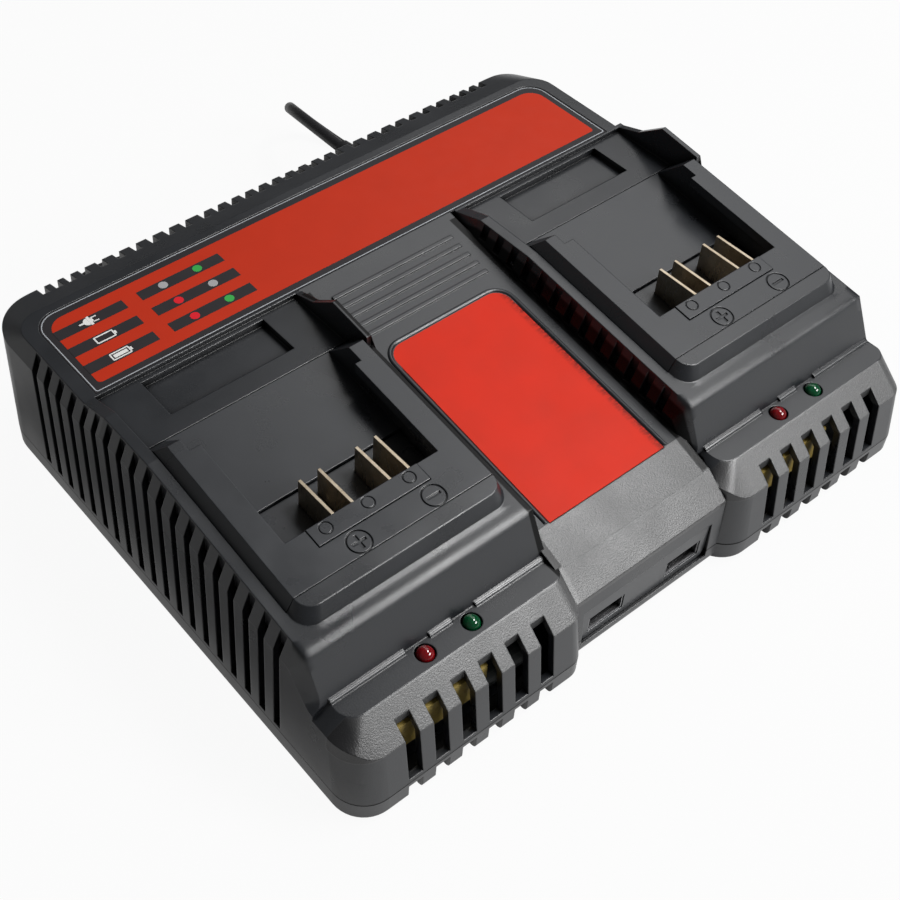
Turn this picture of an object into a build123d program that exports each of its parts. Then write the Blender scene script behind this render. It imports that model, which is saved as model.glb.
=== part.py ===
# Dual battery charger: two slide-on battery bays side by side on one vented housing, with two
# USB ports between them, four indicator lamps, two plates and a mains cord.
# Millimetres. +X to the right seen from the front, -Y the front, +Z up. The origin is on the
# surface that the charger stands on, under the middle of its footprint.
import os
from math import atan, cos, hypot, pi, radians, sin, tan

from build123d import *

os.makedirs("parts", exist_ok=True)

# Overall housing
bay_width = 78.0
bay_pitch = 132.0
body_depth = 174.5
foot_height = 0.8
seam_height = 8.0
deck_height = 51.5
overcut = 2.0
cut_top = 80.0
wall = 2.2
side_draft = 1.8
front_lean = 7.9
rear_lean = 1.4
bay_outer_corner = 10.0
bay_inner_corner = 5.0
rear_corner = 12.0
base_edge_round = 1.8
mid_edge_round = 3.2
base_floor = 2.4

body_width = bay_pitch + bay_width
half_width = body_width / 2
half_bay = bay_width / 2
front_y = -body_depth / 2
rear_y = body_depth / 2
bay_centres = {"left": -bay_pitch / 2, "right": bay_pitch / 2}

# Bay front, measured back from the front face at the seam
chamfer_low_back = 2.3
chamfer_low_height = 24.6
ledge_front_back = 10.9
ledge_height = 32.7
slope_back = 18.5
slope_angle = 64.0
brow_round = 5.0
bumper_side_angle = 33.0
ledge_left_inset = 5.7
ledge_corner_left = 5.0
ledge_corner_right = 4.3
bead_back = 18.85
bead_width = 2.6
bead_height = 0.9
bead_left = -33.3
bead_right = 37.7
bead_lamp_gap = 3.9

# Rim of the bays: a plane that rises to the rear, then a level stretch, then a drop to the deck
rim_tilt = 7.65
rim_front_height = 47.7
rim_level_height = 55.0
rim_level_end_back = 112.2
rim_drop_end_back = 123.0
bay_lap = 1.5
rim_chamfer_width = 2.6
rim_chamfer_drop = 5.9
rim_edge_inset = 3.8

# Raised block with the battery rails
block_height = 3.7
block_left_foot = -31.8
block_left_top = -29.4
block_right_foot = 35.6
block_right_top = 34.3
block_foot_back = 29.4
block_top_back = 32.4
block_corner = 4.5
parting_back = 37.0
block_rear_top_back = 90.6
block_rear_foot_back = 99.9
insert_gap = 0.15
insert_flange = 1.8
insert_skin = 2.4
skirt_bottom = 41.0
flange_reach = 2.0
flange_side = 1.7
side_flange_end_back = 85.25

# Battery slot in the block
well_front_back = 50.6
well_rear_back = 68.0
slot_depth = 9.9
lip_left = -22.0
lip_right = 27.3
lip_left_wide = -25.4
lip_right_wide = 29.4
lip_left_notch_back = 86.5
lip_right_notch_back = 85.2
lip_thickness = 3.1
groove_left = -25.4
groove_right = 29.4
sign_depth = 0.3
sign_radius = 3.5
sign_line = 0.4
sign_back = 40.6
sign_plus_x = -6.6
sign_minus_x = 17.5
sign_bar = (4.2, 0.8)

# Rear of the battery bay
bay_floor_height = 50.0
bay_rear_back = 123.2
latch_left = -18.4
latch_right = 22.7
latch_front_back = 106.7
latch_rear_back = 121.5
latch_depth = 2.3
fin_thickness = 1.6
fin_top_end_back = 105.9
fin_foot_end_back = 117.8

# Rear section
deck_front_back = 123.9
deck_bevel_back = 11.8
deck_bevel_slope = 3.79
deck_corner = 8.0

# Middle section
mid_front_back = 4.2
mid_chamfer_low_back = 5.2
mid_chamfer_low_height = 25.8
mid_chamfer_top_back = 12.9
mid_chamfer_top_height = 32.4
mid_label_front_back = 24.1
mid_label_front_height = 36.5
mid_tilt = 8.6
mid_label_rear_back = 88.9
mid_label_half_width = 21.6
mid_label_corner = 5.0
label_thickness = 0.4
label_sink = 0.5
label_gap = 0.15
rib_rear_back = 115.6
rib_pitch = 4.0
rib_count = 5
rib_width = 1.3
rib_height = 0.5
rib_half_length = 22.7

# Rear plate
rear_label_half_width = 96.7
rear_label_front_back = 124.2
rear_label_rear_back = 159.6
rear_label_corner = 7.0

# Ventilation
side_slot_pitch = 6.32
side_slot_width = 2.7
side_slot_first_back = 146.8
side_slot_count = 19
flank_slot_count = 13
slot_bottom = 9.4
right_slot_top = 42.0
flank_slot_rise = 1.0
front_slot_pitch = 8.95
front_slot_first = -20.1
front_slot_width = 4.6
front_slot_top_back = 6.9
front_slot_bottom = 9.2
front_slot_count = 6
notch_depth = 4.6
notch_top = 6.4
notch_wall = 1.5
rear_slot_width = 2.4
rear_slot_depth = 5.0
rear_slot_groups = [(-85.9, 4.4, 3), (-72.2, 5.95, 7), (-29.6, 5.2, 11), (29.1, 5.95, 7), (70.7, 4.4, 4)]

# Indicator lamps
lamp_back = 15.0
lamp_red_x = -5.9
lamp_green_x = 9.3
lamp_hole = 5.6
lamp_diameter = 4.9
lamp_rim = 5.9
lamp_rim_thickness = 1.0
lamp_flange_height = 24.2
lamp_seat_height = 31.9

# Terminals
bar_left = -15.6
bar_right = 20.0
bar_front_back = 44.9
bar_proud = 0.3
bar_mark_places = [-11.1, 2.3, 15.7]
bar_mark_back = 48.3
bar_mark_radius = 1.9
bar_mark_depth = 0.2
bar_mark_line = 0.3
blade_positions = [-7.0, -0.8, 11.4, 17.6]
blade_thickness = 0.9
blade_rear_back = 64.6
blade_top = 53.4
blade_foot = 40.4
blade_corner = 2.4
blade_clearance = 0.1
terminal_base_depth = 10.8
terminal_base_bottom = 39.4
terminal_gap = 0.25
ear_width = 4.0
ear_reach = 2.5
ear_depth = 4.0

# USB ports
usb_spacing = 30.0
usb_centre_height = 11.0
usb_shell_width = 13.1
usb_shell_height = 5.7
usb_shell_depth = 14.0
usb_shell_wall = 0.4
usb_tongue_width = 11.1
usb_tongue_thickness = 1.8
port_frame_half_width = 24.5
port_frame_top = 19.0
port_frame_bottom = 5.8
port_frame_sink = 1.0
port_frame_thickness = 1.8
port_frame_corner = 3.0
port_flange = 2.0
port_flange_top = 21.0
port_flange_thickness = 1.3
port_gap = 0.2
usb_front_sink = 1.3
usb_tongue_sink = 2.5
usb_tongue_drop = 0.7

# Inside
board_thickness = 1.6
main_board_height = 12.4
main_board_half_width = 94.0
main_board_front_back = 6.8
main_board_rear_back = 150.0
core_width = 33.0
core_depth = 12.0
core_height = 20.0
core_leg = 5.0
core_gap = 0.2
winding_depth = 21.0
winding_corner = 3.0
transformer_offset = -7.0
transformer_back = 35.25
sink_width = 44.0
sink_plate = 2.4
sink_fin = 1.4
sink_depth = 12.0
sink_height = 22.0
sink_fins = 7
sink_back = 109.25
capacitor_diameter = 16.0
capacitor_height = 24.0
capacitor_edge = 0.8
capacitor_xs = [-14.0, 6.0]
capacitor_backs = [107.25, 129.25]
film_capacitor = (30.0, 4.4, 10.5)
film_capacitor_x = -6.8
film_capacitor_back = 6.35
film_capacitor_corner = 0.6
standoff_diameter = 6.0
standoff_spread = 84.0
standoff_front_back = 59.25
standoff_rear_back = 139.25
standoff_middle_backs = [43.25, 141.25]
usb_standoff_spread = 20.0
usb_standoff_back = 27.25
usb_board_bottom = 6.55
usb_board_half = 25.0
usb_board_rear_back = 31.25
port_clear_half = 31.5
board_screw_shank = 2.4
board_screw_hole = 2.8
board_screw_head = 5.0
board_screw_head_height = 1.8
board_screw_reach = 8.6
screw_head = 6.5
screw_well = 7.5
screw_shank = 3.0
screw_reach = 14.0
screw_length = 12.0
screw_head_height = 2.2
screw_seat = 4.6
screw_gap = 0.15
post_diameter = 8.0
screw_rear_in = 11.25
screw_rear_side_in = 15.0
screw_side_in = 6.0
screw_side_back = 47.25
screw_side_post_top = 38.5
screw_front_back = 21.25
screw_front_x = 34.0
post_sink = 1.0
boss_diameter = 11.0
lamp_board_left = -22.0
lamp_board_right = 24.5
lamp_board_front = 4.0
lamp_board_rear = 5.0
lamp_board_posts = [-17.0, 20.5]
lamp_post = 4.0

# Feet
foot_diameter = 12.0
foot_sink = 0.9
foot_gap = 0.1
foot_chamfer = 0.5
foot_front_back = 21.25
foot_front_in = 17.0
foot_rear_in = 29.25
foot_rear_side_in = 19.0

# Cord
cord_diameter = 4.2
cord_exit_x = 45.0
cord_exit_height = 25.0
boot_length = 24.0
boot_diameter = 9.0
boot_base_diameter = 10.6
boot_tip_diameter = 6.2
boot_flange = 13.0
boot_flange_thickness = 2.0
boot_pad = 16.0
boot_gap = 0.2
boot_bore_depth = 8.0
cord_turn_back = 41.2
cord_return_x = 64.06
hank_centre = (-8.0, 107.6)
hank_run = 82.0
hank_waist = 16.0
hank_draw_in = 6.0
hank_fold = 12.6
hank_step = 5.0
hank_layer = 4.8
hank_lift = 1.3
hank_end = 5.0
tie_width = 12.0
tie_thickness = 1.0
tie_gap = 0.15
plug_start = (84.0, 107.6, 6.0)
plug_relief = 12.0
plug_length = 30.0
plug_shoulder = 16.5
plug_neck = 15.0
plug_width = 33.0
plug_thickness = 12.0
plug_corner = 2.5
plug_edge = 2.0
plug_sleeve_tip = 5.8
plug_sleeve_root = 9.6
pin_diameter = 4.0
pin_length = 17.0
pin_chamfer = 1.0
pin_spacing = 18.6


def back(distance):
    """The Y of a place that lies this far behind the front face at the seam."""
    return front_y + distance


def rim_height(y):
    """Height of the bays' tilted rim plane at a Y."""
    return rim_front_height + (y - back(parting_back)) * tan(radians(rim_tilt))


def block_top(y):
    """Height of the raised block's top, parallel to the rim."""
    return rim_height(y) + block_height


def floor_height(y):
    """Height of the battery slot's floor, parallel to the block's top."""
    return block_top(y) - slot_depth


# Points of the bay's side profile
slope_rise = tan(radians(slope_angle))
rim_rise = tan(radians(rim_tilt))
wall_drop = wall / cos(radians(rim_tilt))
slope_foot_y = back(slope_back)
brow_y = (rim_height(0) - ledge_height + slope_foot_y * slope_rise) / (slope_rise - rim_rise)
rim_level_y = back(parting_back) + (rim_level_height - rim_front_height) / rim_rise


def bay_profile():
    """Corners of the bay's upper outline behind the ledge, front to rear."""
    return [
        (slope_foot_y, ledge_height),
        (brow_y, rim_height(brow_y)),
        (rim_level_y, rim_level_height),
        (back(rim_level_end_back), rim_level_height),
        (back(rim_drop_end_back), deck_height),
        (back(rim_drop_end_back) + bay_lap, deck_height),
    ]


def front_outline(height, left, right, front, rear, left_corner, right_corner):
    """A plan outline at a height, with round front corners and a straight rear."""
    with BuildSketch(Plane.XY.offset(height)) as outline:
        with BuildLine():
            Line((right, rear), (left, rear))
            Line((left, rear), (left, front + left_corner))
            CenterArc((left + left_corner, front + left_corner), left_corner, 180, 90)
            Line((left + left_corner, front), (right - right_corner, front))
            CenterArc((right - right_corner, front + right_corner), right_corner, 270, 90)
            Line((right, front + right_corner), (right, rear))
        make_face()
    return outline.sketch


def rear_outline(height, half, front, rear, corner):
    """A plan outline at a height, with a straight front and round rear corners."""
    with BuildSketch(Plane.XY.offset(height)) as outline:
        with BuildLine():
            Line((-half, front), (half, front))
            Line((half, front), (half, rear - corner))
            CenterArc((half - corner, rear - corner), corner, 0, 90)
            Line((half - corner, rear), (-half + corner, rear))
            CenterArc((-half + corner, rear - corner), corner, 90, 90)
            Line((-half, rear - corner), (-half, front))
        make_face()
    return outline.sketch


def side_profile(x, corners, rounded=(), grow=0.0):
    """A closed profile across the width at X, given by (Y, Z) corners, some of them rounded."""
    with BuildSketch(Plane.YZ.offset(x)) as outline:
        with BuildLine():
            Polyline(*corners, close=True)
        make_face()
        for y, z, radius in rounded:
            fillet(outline.vertices().sort_by_distance((x, y, z))[0], radius)
        if grow:
            offset(amount=grow, kind=Kind.INTERSECTION)
    return outline.sketch


# Bay walls: one bay in its own X, with the front corners round and every wall leaning in
def bay_walls(inset, bottom, top):
    """The drafted block between the bay's walls, inset from the outside by a wall."""
    sections = []
    for height in (bottom, top):
        rise = height - seam_height
        side = half_bay - inset - rise * tan(radians(side_draft))
        front = front_y + inset + rise * tan(radians(front_lean))
        sections.append(front_outline(height, -side, side, front, back(rim_drop_end_back) + bay_lap,
                                      bay_outer_corner - inset, bay_inner_corner - inset))
    with BuildPart() as walls:
        loft(sections, ruled=True)
    return walls.part


# Bumper: the low front of a bay, with a chamfer round its front and left side
def bumper(inset, bottom):
    """The bumper's block up to the ledge, inset from the outside by a wall."""
    front_angle = atan((ledge_height - chamfer_low_height) / (ledge_front_back - chamfer_low_back))
    side_angle = radians(bumper_side_angle)
    top = ledge_height - inset
    low = chamfer_low_height - 8.0
    front_top = back(ledge_front_back) + inset * tan(front_angle / 2)
    left_top = -half_bay + ledge_left_inset + inset * tan(side_angle / 2)
    right = half_bay - 0.7 - inset
    rear = slope_foot_y + 3
    upper = front_outline(top, left_top, right, front_top, rear, ledge_corner_left, ledge_corner_right)
    lower = front_outline(low, left_top - (top - low) / tan(side_angle), right + 0.7,
                          front_top - (top - low) / tan(front_angle), rear,
                          ledge_corner_left + 8, ledge_corner_right)
    with BuildPart() as shape:
        loft([upper, lower], ruled=True)
        with BuildSketch(Plane.XY.offset(bottom)):
            with Locations((0, rear - 30)):
                Rectangle(bay_width + 40, 60)
        extrude(amount=low - bottom)
    return shape.part


def upper_bay(inset, bottom):
    """The bay behind the ledge, under its slope and rim, inset from the outside by a wall."""
    corners = bay_profile()
    brow = (brow_y, rim_height(brow_y), brow_round)
    lean = atan(rim_chamfer_drop / rim_chamfer_width)
    edge_x = -half_bay + rim_edge_inset + inset * tan(lean / 2)
    reach = rim_edge_inset + 0.4
    fall = (reach * rim_chamfer_drop + inset * hypot(rim_chamfer_drop, rim_chamfer_width)) / rim_chamfer_width
    low_brow_y = back(parting_back) - 7.5
    low_brow = (low_brow_y, rim_height(low_brow_y) - fall)
    low_foot = (slope_foot_y + 2.5, ledge_height - 1.7 - inset * 1.5)
    low_corners = [low_foot, low_brow] + [(y, z - fall) for y, z in corners[2:]]
    under = [(corners[-1][0], bottom - 10), (corners[0][0], bottom - 10)]

    def above(points):
        last = points[-1][0] + 4
        first = points[0][0] - 6
        return [(first, points[0][1])] + points + [(last, points[-1][1]), (last, 90), (first, 90)]

    with BuildPart() as shape:
        extrude(side_profile(-half_bay - 1, corners + under, [brow], -inset), amount=bay_width + 2)
        loft([side_profile(edge_x, above(corners), [brow], inset),
              side_profile(-half_bay - 0.4, above(low_corners), [low_brow + (brow_round,)])],
             ruled=True, mode=Mode.SUBTRACT)
    return shape.part


def bay_block(inset, bottom):
    """One bay's whole outer form, or its hollow when an inset is given."""
    with BuildPart() as bay:
        add(bumper(inset, bottom))
        add(upper_bay(inset, bottom))
        add(bay_walls(inset, bottom, 75), mode=Mode.INTERSECT)
    return bay.part


def rear_block(inset, bottom):
    """The rear section with its level deck, bevelled all round, inset from the outside by a wall."""
    front = back(deck_front_back) - inset
    walls = []
    for height in (bottom, 75):
        rise = height - seam_height
        walls.append(rear_outline(height, half_width - inset - rise * tan(radians(side_draft)), front,
                                  rear_y - inset - rise * tan(radians(rear_lean)), rear_corner - inset))
    side_lean = atan(rim_chamfer_drop / rim_chamfer_width)
    rear_fall = atan(rim_chamfer_drop / (rim_chamfer_drop * deck_bevel_slope))
    top = deck_height - inset
    half = half_width - rim_edge_inset - inset * tan(side_lean / 2)
    rear = rear_y - deck_bevel_back - inset * tan(rear_fall / 2)
    upper = rear_outline(top, half, front, rear, deck_corner)
    lower = rear_outline(top - rim_chamfer_drop, half + rim_chamfer_width, front,
                         rear + rim_chamfer_drop * deck_bevel_slope, deck_corner + 14)
    with BuildPart() as roof:
        loft([upper, lower], ruled=True)
        with BuildSketch(Plane.XY.offset(bottom)):
            Rectangle(body_width + 40, body_depth + 60)
        extrude(amount=top - rim_chamfer_drop - bottom)
    with BuildPart() as block:
        loft(walls, ruled=True)
        add(roof.part, mode=Mode.INTERSECT)
    return block.part


def mid_height(y):
    """Height of the middle section's long sloped top at a Y."""
    start = back(mid_label_front_back)
    return mid_label_front_height + (y - start) * tan(radians(mid_tilt))


def mid_block(inset, bottom):
    """The middle section between the bays, inset from the outside by a wall."""
    last = back(deck_front_back) + 4
    corners = [
        (back(mid_front_back), bottom - 10),
        (back(mid_front_back), seam_height),
        (back(mid_chamfer_low_back), mid_chamfer_low_height),
        (back(mid_chamfer_top_back), mid_chamfer_top_height),
        (back(mid_label_front_back), mid_label_front_height),
        (last, mid_height(last)),
        (last, bottom - 10),
    ]
    reach = bay_pitch / 2 - half_bay + 2 + inset
    with BuildPart() as block:
        extrude(side_profile(-reach, corners, (), -inset), amount=2 * reach)
        with BuildSketch(Plane.XY.offset(bottom)):
            Rectangle(4 * reach, 2 * body_depth)
        extrude(amount=100, mode=Mode.INTERSECT)
    return block.part


def housing(inset, bottom):
    """The whole housing's form, or its hollow when an inset is given."""
    bay = bay_block(inset, bottom)
    with BuildPart() as form:
        add(rear_block(inset, bottom))
        add(mid_block(inset, bottom))
        with Locations(*[(x, 0, 0) for x in bay_centres.values()]):
            add(bay)
    return form.part


deck = Plane(origin=(0, back(parting_back), block_top(back(parting_back))), x_dir=(1, 0, 0),
             z_dir=(0, -sin(radians(rim_tilt)), cos(radians(rim_tilt))))


def on_deck(y):
    """The distance along the plane of the block's top at a Y."""
    return (y - back(parting_back)) / cos(radians(rim_tilt))


def deck_outline(sink, left, right, front, rear, corner):
    """An outline on the plane of the block's top, sunk below it, with round front corners."""
    front, rear = on_deck(front), on_deck(rear)
    with BuildSketch(deck.offset(-sink)) as outline:
        with BuildLine():
            Line((right, rear), (left, rear))
            Line((left, rear), (left, front + corner))
            CenterArc((left + corner, front + corner), corner, 180, 90)
            Line((left + corner, front), (right - corner, front))
            CenterArc((right - corner, front + corner), corner, 270, 90)
            Line((right, front + corner), (right, rear))
        make_face()
    return outline.sketch


def box_between(x0, x1, y0, y1, z0, z1):
    """A plain block given by its limits."""
    middle = Pos((x0 + x1) / 2, (y0 + y1) / 2, (z0 + z1) / 2)
    return middle * Box(x1 - x0, y1 - y0, z1 - z0, mode=Mode.PRIVATE)


def along_y(x, z, near, far, diameter):
    """A plain cylinder that lies along Y."""
    return (Pos(x, (near + far) / 2, z) * Rot(90, 0, 0)
            * Cylinder(diameter / 2, far - near, mode=Mode.PRIVATE))


def upright(x, y, bottom, top, diameter):
    """A plain upright cylinder between two heights."""
    return Pos(x, y, (bottom + top) / 2) * Cylinder(diameter / 2, top - bottom, mode=Mode.PRIVATE)


mid_plane = Plane(origin=(0, back(mid_label_front_back), mid_label_front_height), x_dir=(1, 0, 0),
                  z_dir=(0, -sin(radians(mid_tilt)), cos(radians(mid_tilt))))
mid_label_length = (mid_label_rear_back - mid_label_front_back) / cos(radians(mid_tilt))


def mid_plate(sink, grow):
    """Outline of the middle plate, with round rear corners, sunk below the sloped top."""
    half, long, corner = mid_label_half_width + grow, mid_label_length + grow, mid_label_corner + grow
    with BuildSketch(mid_plane.offset(-sink)) as outline:
        with BuildLine():
            Line((-half, -grow), (half, -grow))
            Line((half, -grow), (half, long - corner))
            CenterArc((half - corner, long - corner), corner, 0, 90)
            Line((half - corner, long), (-half + corner, long))
            CenterArc((-half + corner, long - corner), corner, 90, 90)
            Line((-half, long - corner), (-half, -grow))
        make_face()
    return outline.sketch


# Places that several pieces share
parting_y = back(parting_back)
block_rear_y = back(block_rear_foot_back)
block_rear_top_y = back(block_rear_top_back)
block_sink = block_height * cos(radians(rim_tilt))
bay_rear_y = back(bay_rear_back)
well_front_y = back(well_front_back)
well_rear_y = back(well_rear_back)
bar_front_y = back(bar_front_back)
lamp_y = back(lamp_back)
port_face_y = back(mid_front_back)
sink_y = back(sink_back)
usb_board_rear = back(usb_board_rear_back)
screw_places = []
post_tops = []
for x, y, top in ((half_width - screw_rear_side_in, rear_y - screw_rear_in, deck_height - wall + post_sink),
                  (half_width - screw_side_in, back(screw_side_back), screw_side_post_top),
                  (screw_front_x, back(screw_front_back), ledge_height - wall + post_sink)):
    screw_places += [(-x, y), (x, y)]
    post_tops += [top, top]
standoff_places = [(side * standoff_spread, back(place)) for place in (standoff_rear_back, standoff_front_back)
                   for side in (-1, 1)]
standoff_places += [(0, back(place)) for place in standoff_middle_backs]
usb_standoff_places = [(side * usb_standoff_spread, back(usb_standoff_back)) for side in (-1, 1)]
foot_places = {}
for side, way in (("left", -1), ("right", 1)):
    foot_places[f"front_{side}"] = (way * (half_width - foot_front_in), back(foot_front_back))
    foot_places[f"rear_{side}"] = (way * (half_width - foot_rear_side_in), rear_y - foot_rear_in)

outer_form = housing(0, seam_height)
hollow_form = housing(wall, seam_height - 2)

# Raised block and its slanted sides, whole, before it is parted between cover and insert
with BuildPart() as block_form:
    loft([deck_outline(0, block_left_top, block_right_top, back(block_top_back),
                       block_rear_y + 20, block_corner),
          deck_outline(block_sink + 0.3, block_left_foot, block_right_foot, back(block_foot_back),
                       block_rear_y + 20, block_corner + 1)], ruled=True)

# Fin: the thin right wall that stands on behind the rails
fin_top = [
    (block_rear_top_y, block_top(block_rear_top_y)),
    (back(fin_top_end_back), block_top(back(fin_top_end_back))),
    (back(fin_foot_end_back), bay_floor_height + 2.1),
    (back(fin_foot_end_back), bay_floor_height - wall),
    (block_rear_top_y, bay_floor_height - wall),
]
fin_low = [
    (block_rear_top_y - 1, rim_level_height - 1),
    (back(fin_top_end_back) + 1, rim_level_height - 1),
    (back(fin_foot_end_back), bay_floor_height + 1.5),
    (back(fin_foot_end_back), bay_floor_height - wall),
    (block_rear_top_y - 1, bay_floor_height - wall),
]
with BuildPart() as fin_form:
    extrude(side_profile(block_right_foot, fin_top), amount=fin_thickness)
    loft([side_profile(block_right_foot + fin_thickness, fin_top),
          side_profile(half_bay - 0.9, fin_low)], ruled=True)

# Front strip of the raised block, which belongs to the cover
with BuildPart() as strip_form:
    add(block_form.part)
    add(box_between(-half_bay, half_bay, back(20), parting_y, 40, 60), mode=Mode.INTERSECT)

# Bead: a low rounded ridge along the ledge, left out round each lamp
bead_radius = (bead_height ** 2 + (bead_width / 2) ** 2) / (2 * bead_height)
bead_spans = [(bead_left, lamp_red_x - bead_lamp_gap),
              (lamp_red_x + bead_lamp_gap, lamp_green_x - bead_lamp_gap),
              (lamp_green_x + bead_lamp_gap, bead_right)]
with BuildPart() as bead_form:
    for x0, x1 in bead_spans:
        with BuildSketch(Plane.YZ.offset(x0)):
            with Locations((back(bead_back), ledge_height + bead_height - bead_radius)):
                Circle(bead_radius)
        extrude(amount=x1 - x0)

# Floor and walls of the open rear part of each bay, and the cover's posts
with BuildPart() as inner_walls:
    for x in bay_centres.values():
        add(box_between(x + block_left_foot - wall, x + half_bay - 1, block_rear_y, bay_rear_y + wall,
                        bay_floor_height - latch_depth - wall, rim_level_height + 5))
        for place in lamp_board_posts:
            add(upright(x + place, lamp_y, lamp_flange_height, ledge_height - 0.5, lamp_post))
    for (x, y), top in zip(screw_places, post_tops):
        add(upright(x, y, seam_height, top, post_diameter))
    add(outer_form, mode=Mode.INTERSECT)

# Everything that is cut out of the cover
side_slot_ys = [back(side_slot_first_back - i * side_slot_pitch) for i in range(side_slot_count)]
front_slot_xs = [front_slot_first + i * front_slot_pitch for i in range(front_slot_count)]
rear_slot_xs = [first + i * pitch for first, pitch, count in rear_slot_groups for i in range(count)]
cover_cuts = []
for x in bay_centres.values():
    left, right = x + block_left_foot, x + block_right_foot
    cover_cuts.append(box_between(left, right, parting_y, block_rear_y, skirt_bottom - 1, cut_top))
    cover_cuts.append(box_between(left, right, block_rear_y - 1, bay_rear_y, bay_floor_height, cut_top))
    cover_cuts.append(box_between(x + latch_left, x + latch_right, back(latch_front_back),
                                  back(latch_rear_back), bay_floor_height - latch_depth, cut_top))
    for place in (lamp_red_x, lamp_green_x):
        cover_cuts.append(upright(x + place, lamp_y, lamp_flange_height, ledge_height + overcut, lamp_hole))
    for place in front_slot_xs:
        low, high = x + place - front_slot_width / 2, x + place + front_slot_width / 2
        cover_cuts.append(box_between(low, high, front_y - overcut, back(front_slot_top_back),
                                      front_slot_bottom, ledge_height))
slot_reach = rim_edge_inset - 0.1
for y in side_slot_ys:
    near, far = y - side_slot_width / 2, y + side_slot_width / 2
    cover_cuts.append(box_between(-half_width - overcut, -half_width + slot_reach, near, far,
                                  slot_bottom, cut_top))
    cover_cuts.append(box_between(half_width - slot_reach, half_width + overcut, near, far,
                                  slot_bottom, right_slot_top))
flank_x = bay_centres["right"] - half_bay
for y in side_slot_ys[-flank_slot_count:]:
    near, far = y - side_slot_width / 2, y + side_slot_width / 2
    cover_cuts.append(box_between(flank_x - overcut, flank_x + slot_reach, near, far,
                                  mid_height(far) + flank_slot_rise, cut_top))
for x in rear_slot_xs:
    cover_cuts.append(box_between(x - rear_slot_width / 2, x + rear_slot_width / 2,
                                  rear_y - rear_slot_depth, rear_y + overcut, slot_bottom, cut_top))
for x, y in screw_places:
    cover_cuts.append(upright(x, y, seam_height - overcut, seam_height + screw_reach, screw_shank))
port_opening = port_frame_half_width + port_gap
cover_cuts.append(box_between(-port_opening, port_opening, port_face_y - overcut, port_face_y + 2 * wall,
                              seam_height - overcut, port_frame_top + port_gap))
with BuildPart() as mid_recess:
    extrude(mid_plate(label_sink, label_gap), amount=4)
cover_cuts.append(mid_recess.part)
with BuildPart() as rear_recess:
    extrude(rear_outline(deck_height - label_sink, rear_label_half_width + label_gap,
                         back(rear_label_front_back) - label_gap, back(rear_label_rear_back) + label_gap,
                         rear_label_corner + label_gap), amount=4)
cover_cuts.append(rear_recess.part)

# Ribs across the middle section behind its plate
with BuildPart() as ribs_form:
    for i in range(rib_count):
        near = back(rib_rear_back - i * rib_pitch) - rib_width / 2
        far = near + rib_width
        extrude(side_profile(-rib_half_length, [
            (near, mid_height(near) - 1), (near, mid_height(near) + rib_height),
            (far, mid_height(far) + rib_height), (far, mid_height(far) - 1)]), amount=2 * rib_half_length)

# Round pad in the rear wall where the cord's boot passes
boot_start_y = rear_y - (cord_exit_height - seam_height) * tan(radians(rear_lean))
with BuildPart() as pad_form:
    add(along_y(cord_exit_x, cord_exit_height, boot_start_y - 2 * wall, boot_start_y + wall, boot_pad))
    add(outer_form, mode=Mode.INTERSECT)
    add(hollow_form, mode=Mode.SUBTRACT)
boot_hole = along_y(cord_exit_x, cord_exit_height, boot_start_y - 3 * wall, boot_start_y + 2 * wall,
                    boot_diameter)

# Top cover
with BuildPart() as top_cover:
    add(outer_form)
    add(hollow_form, mode=Mode.SUBTRACT)
    add(inner_walls.part)
    for x in bay_centres.values():
        add(Pos(x, 0, 0) * strip_form.part)
        add(Pos(x, 0, 0) * fin_form.part)
        add(Pos(x, 0, 0) * bead_form.part)
    add(ribs_form.part)
    add(cover_cuts, mode=Mode.SUBTRACT)
    add(pad_form.part)
    add(boot_hole, mode=Mode.SUBTRACT)


def save(piece, name):
    """Name a finished piece and write it."""
    piece.label = name
    export_step(piece, f"parts/{name}.step")


save(top_cover.part, "top_cover")

# Base shell: a shallow tray under the cover, with notches under the front slots, screw bosses,
# standoffs for the boards and seats for the feet
with BuildPart() as base_bay:
    extrude(front_outline(foot_height, -half_bay, half_bay, front_y, 0, bay_outer_corner, bay_inner_corner),
            amount=seam_height - foot_height)
    bottom_edges = base_bay.faces().sort_by(Axis.Z)[0].edges().sort_by(Axis.Y)[:-1]
    fillet(bottom_edges, base_edge_round)
with BuildPart() as base_rear:
    extrude(rear_outline(foot_height, half_width, -20, rear_y, rear_corner), amount=seam_height - foot_height)
    bottom_edges = base_rear.faces().sort_by(Axis.Z)[0].edges().sort_by(Axis.Y)[1:]
    fillet(bottom_edges, base_edge_round)
with BuildPart() as base_mid:
    add(box_between(-flank_x - 2, flank_x + 2, port_face_y, 0, foot_height, seam_height))
    fillet(base_mid.faces().sort_by(Axis.Z)[0].edges().sort_by(Axis.Y)[0], mid_edge_round)

base_floor_top = foot_height + base_floor
tray_hollow = []
for x in bay_centres.values():
    with BuildPart() as hollow:
        extrude(front_outline(base_floor_top, x - half_bay + wall, x + half_bay - wall, front_y + wall, 10,
                              bay_outer_corner - wall, bay_inner_corner - wall), amount=seam_height)
    tray_hollow.append(hollow.part)
with BuildPart() as hollow:
    extrude(rear_outline(base_floor_top, half_width - wall, -30, rear_y - wall, rear_corner - wall),
            amount=seam_height)
tray_hollow.append(hollow.part)
tray_hollow.append(box_between(-flank_x - 6, flank_x + 6, port_face_y + wall, 0, base_floor_top, 20))

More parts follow.
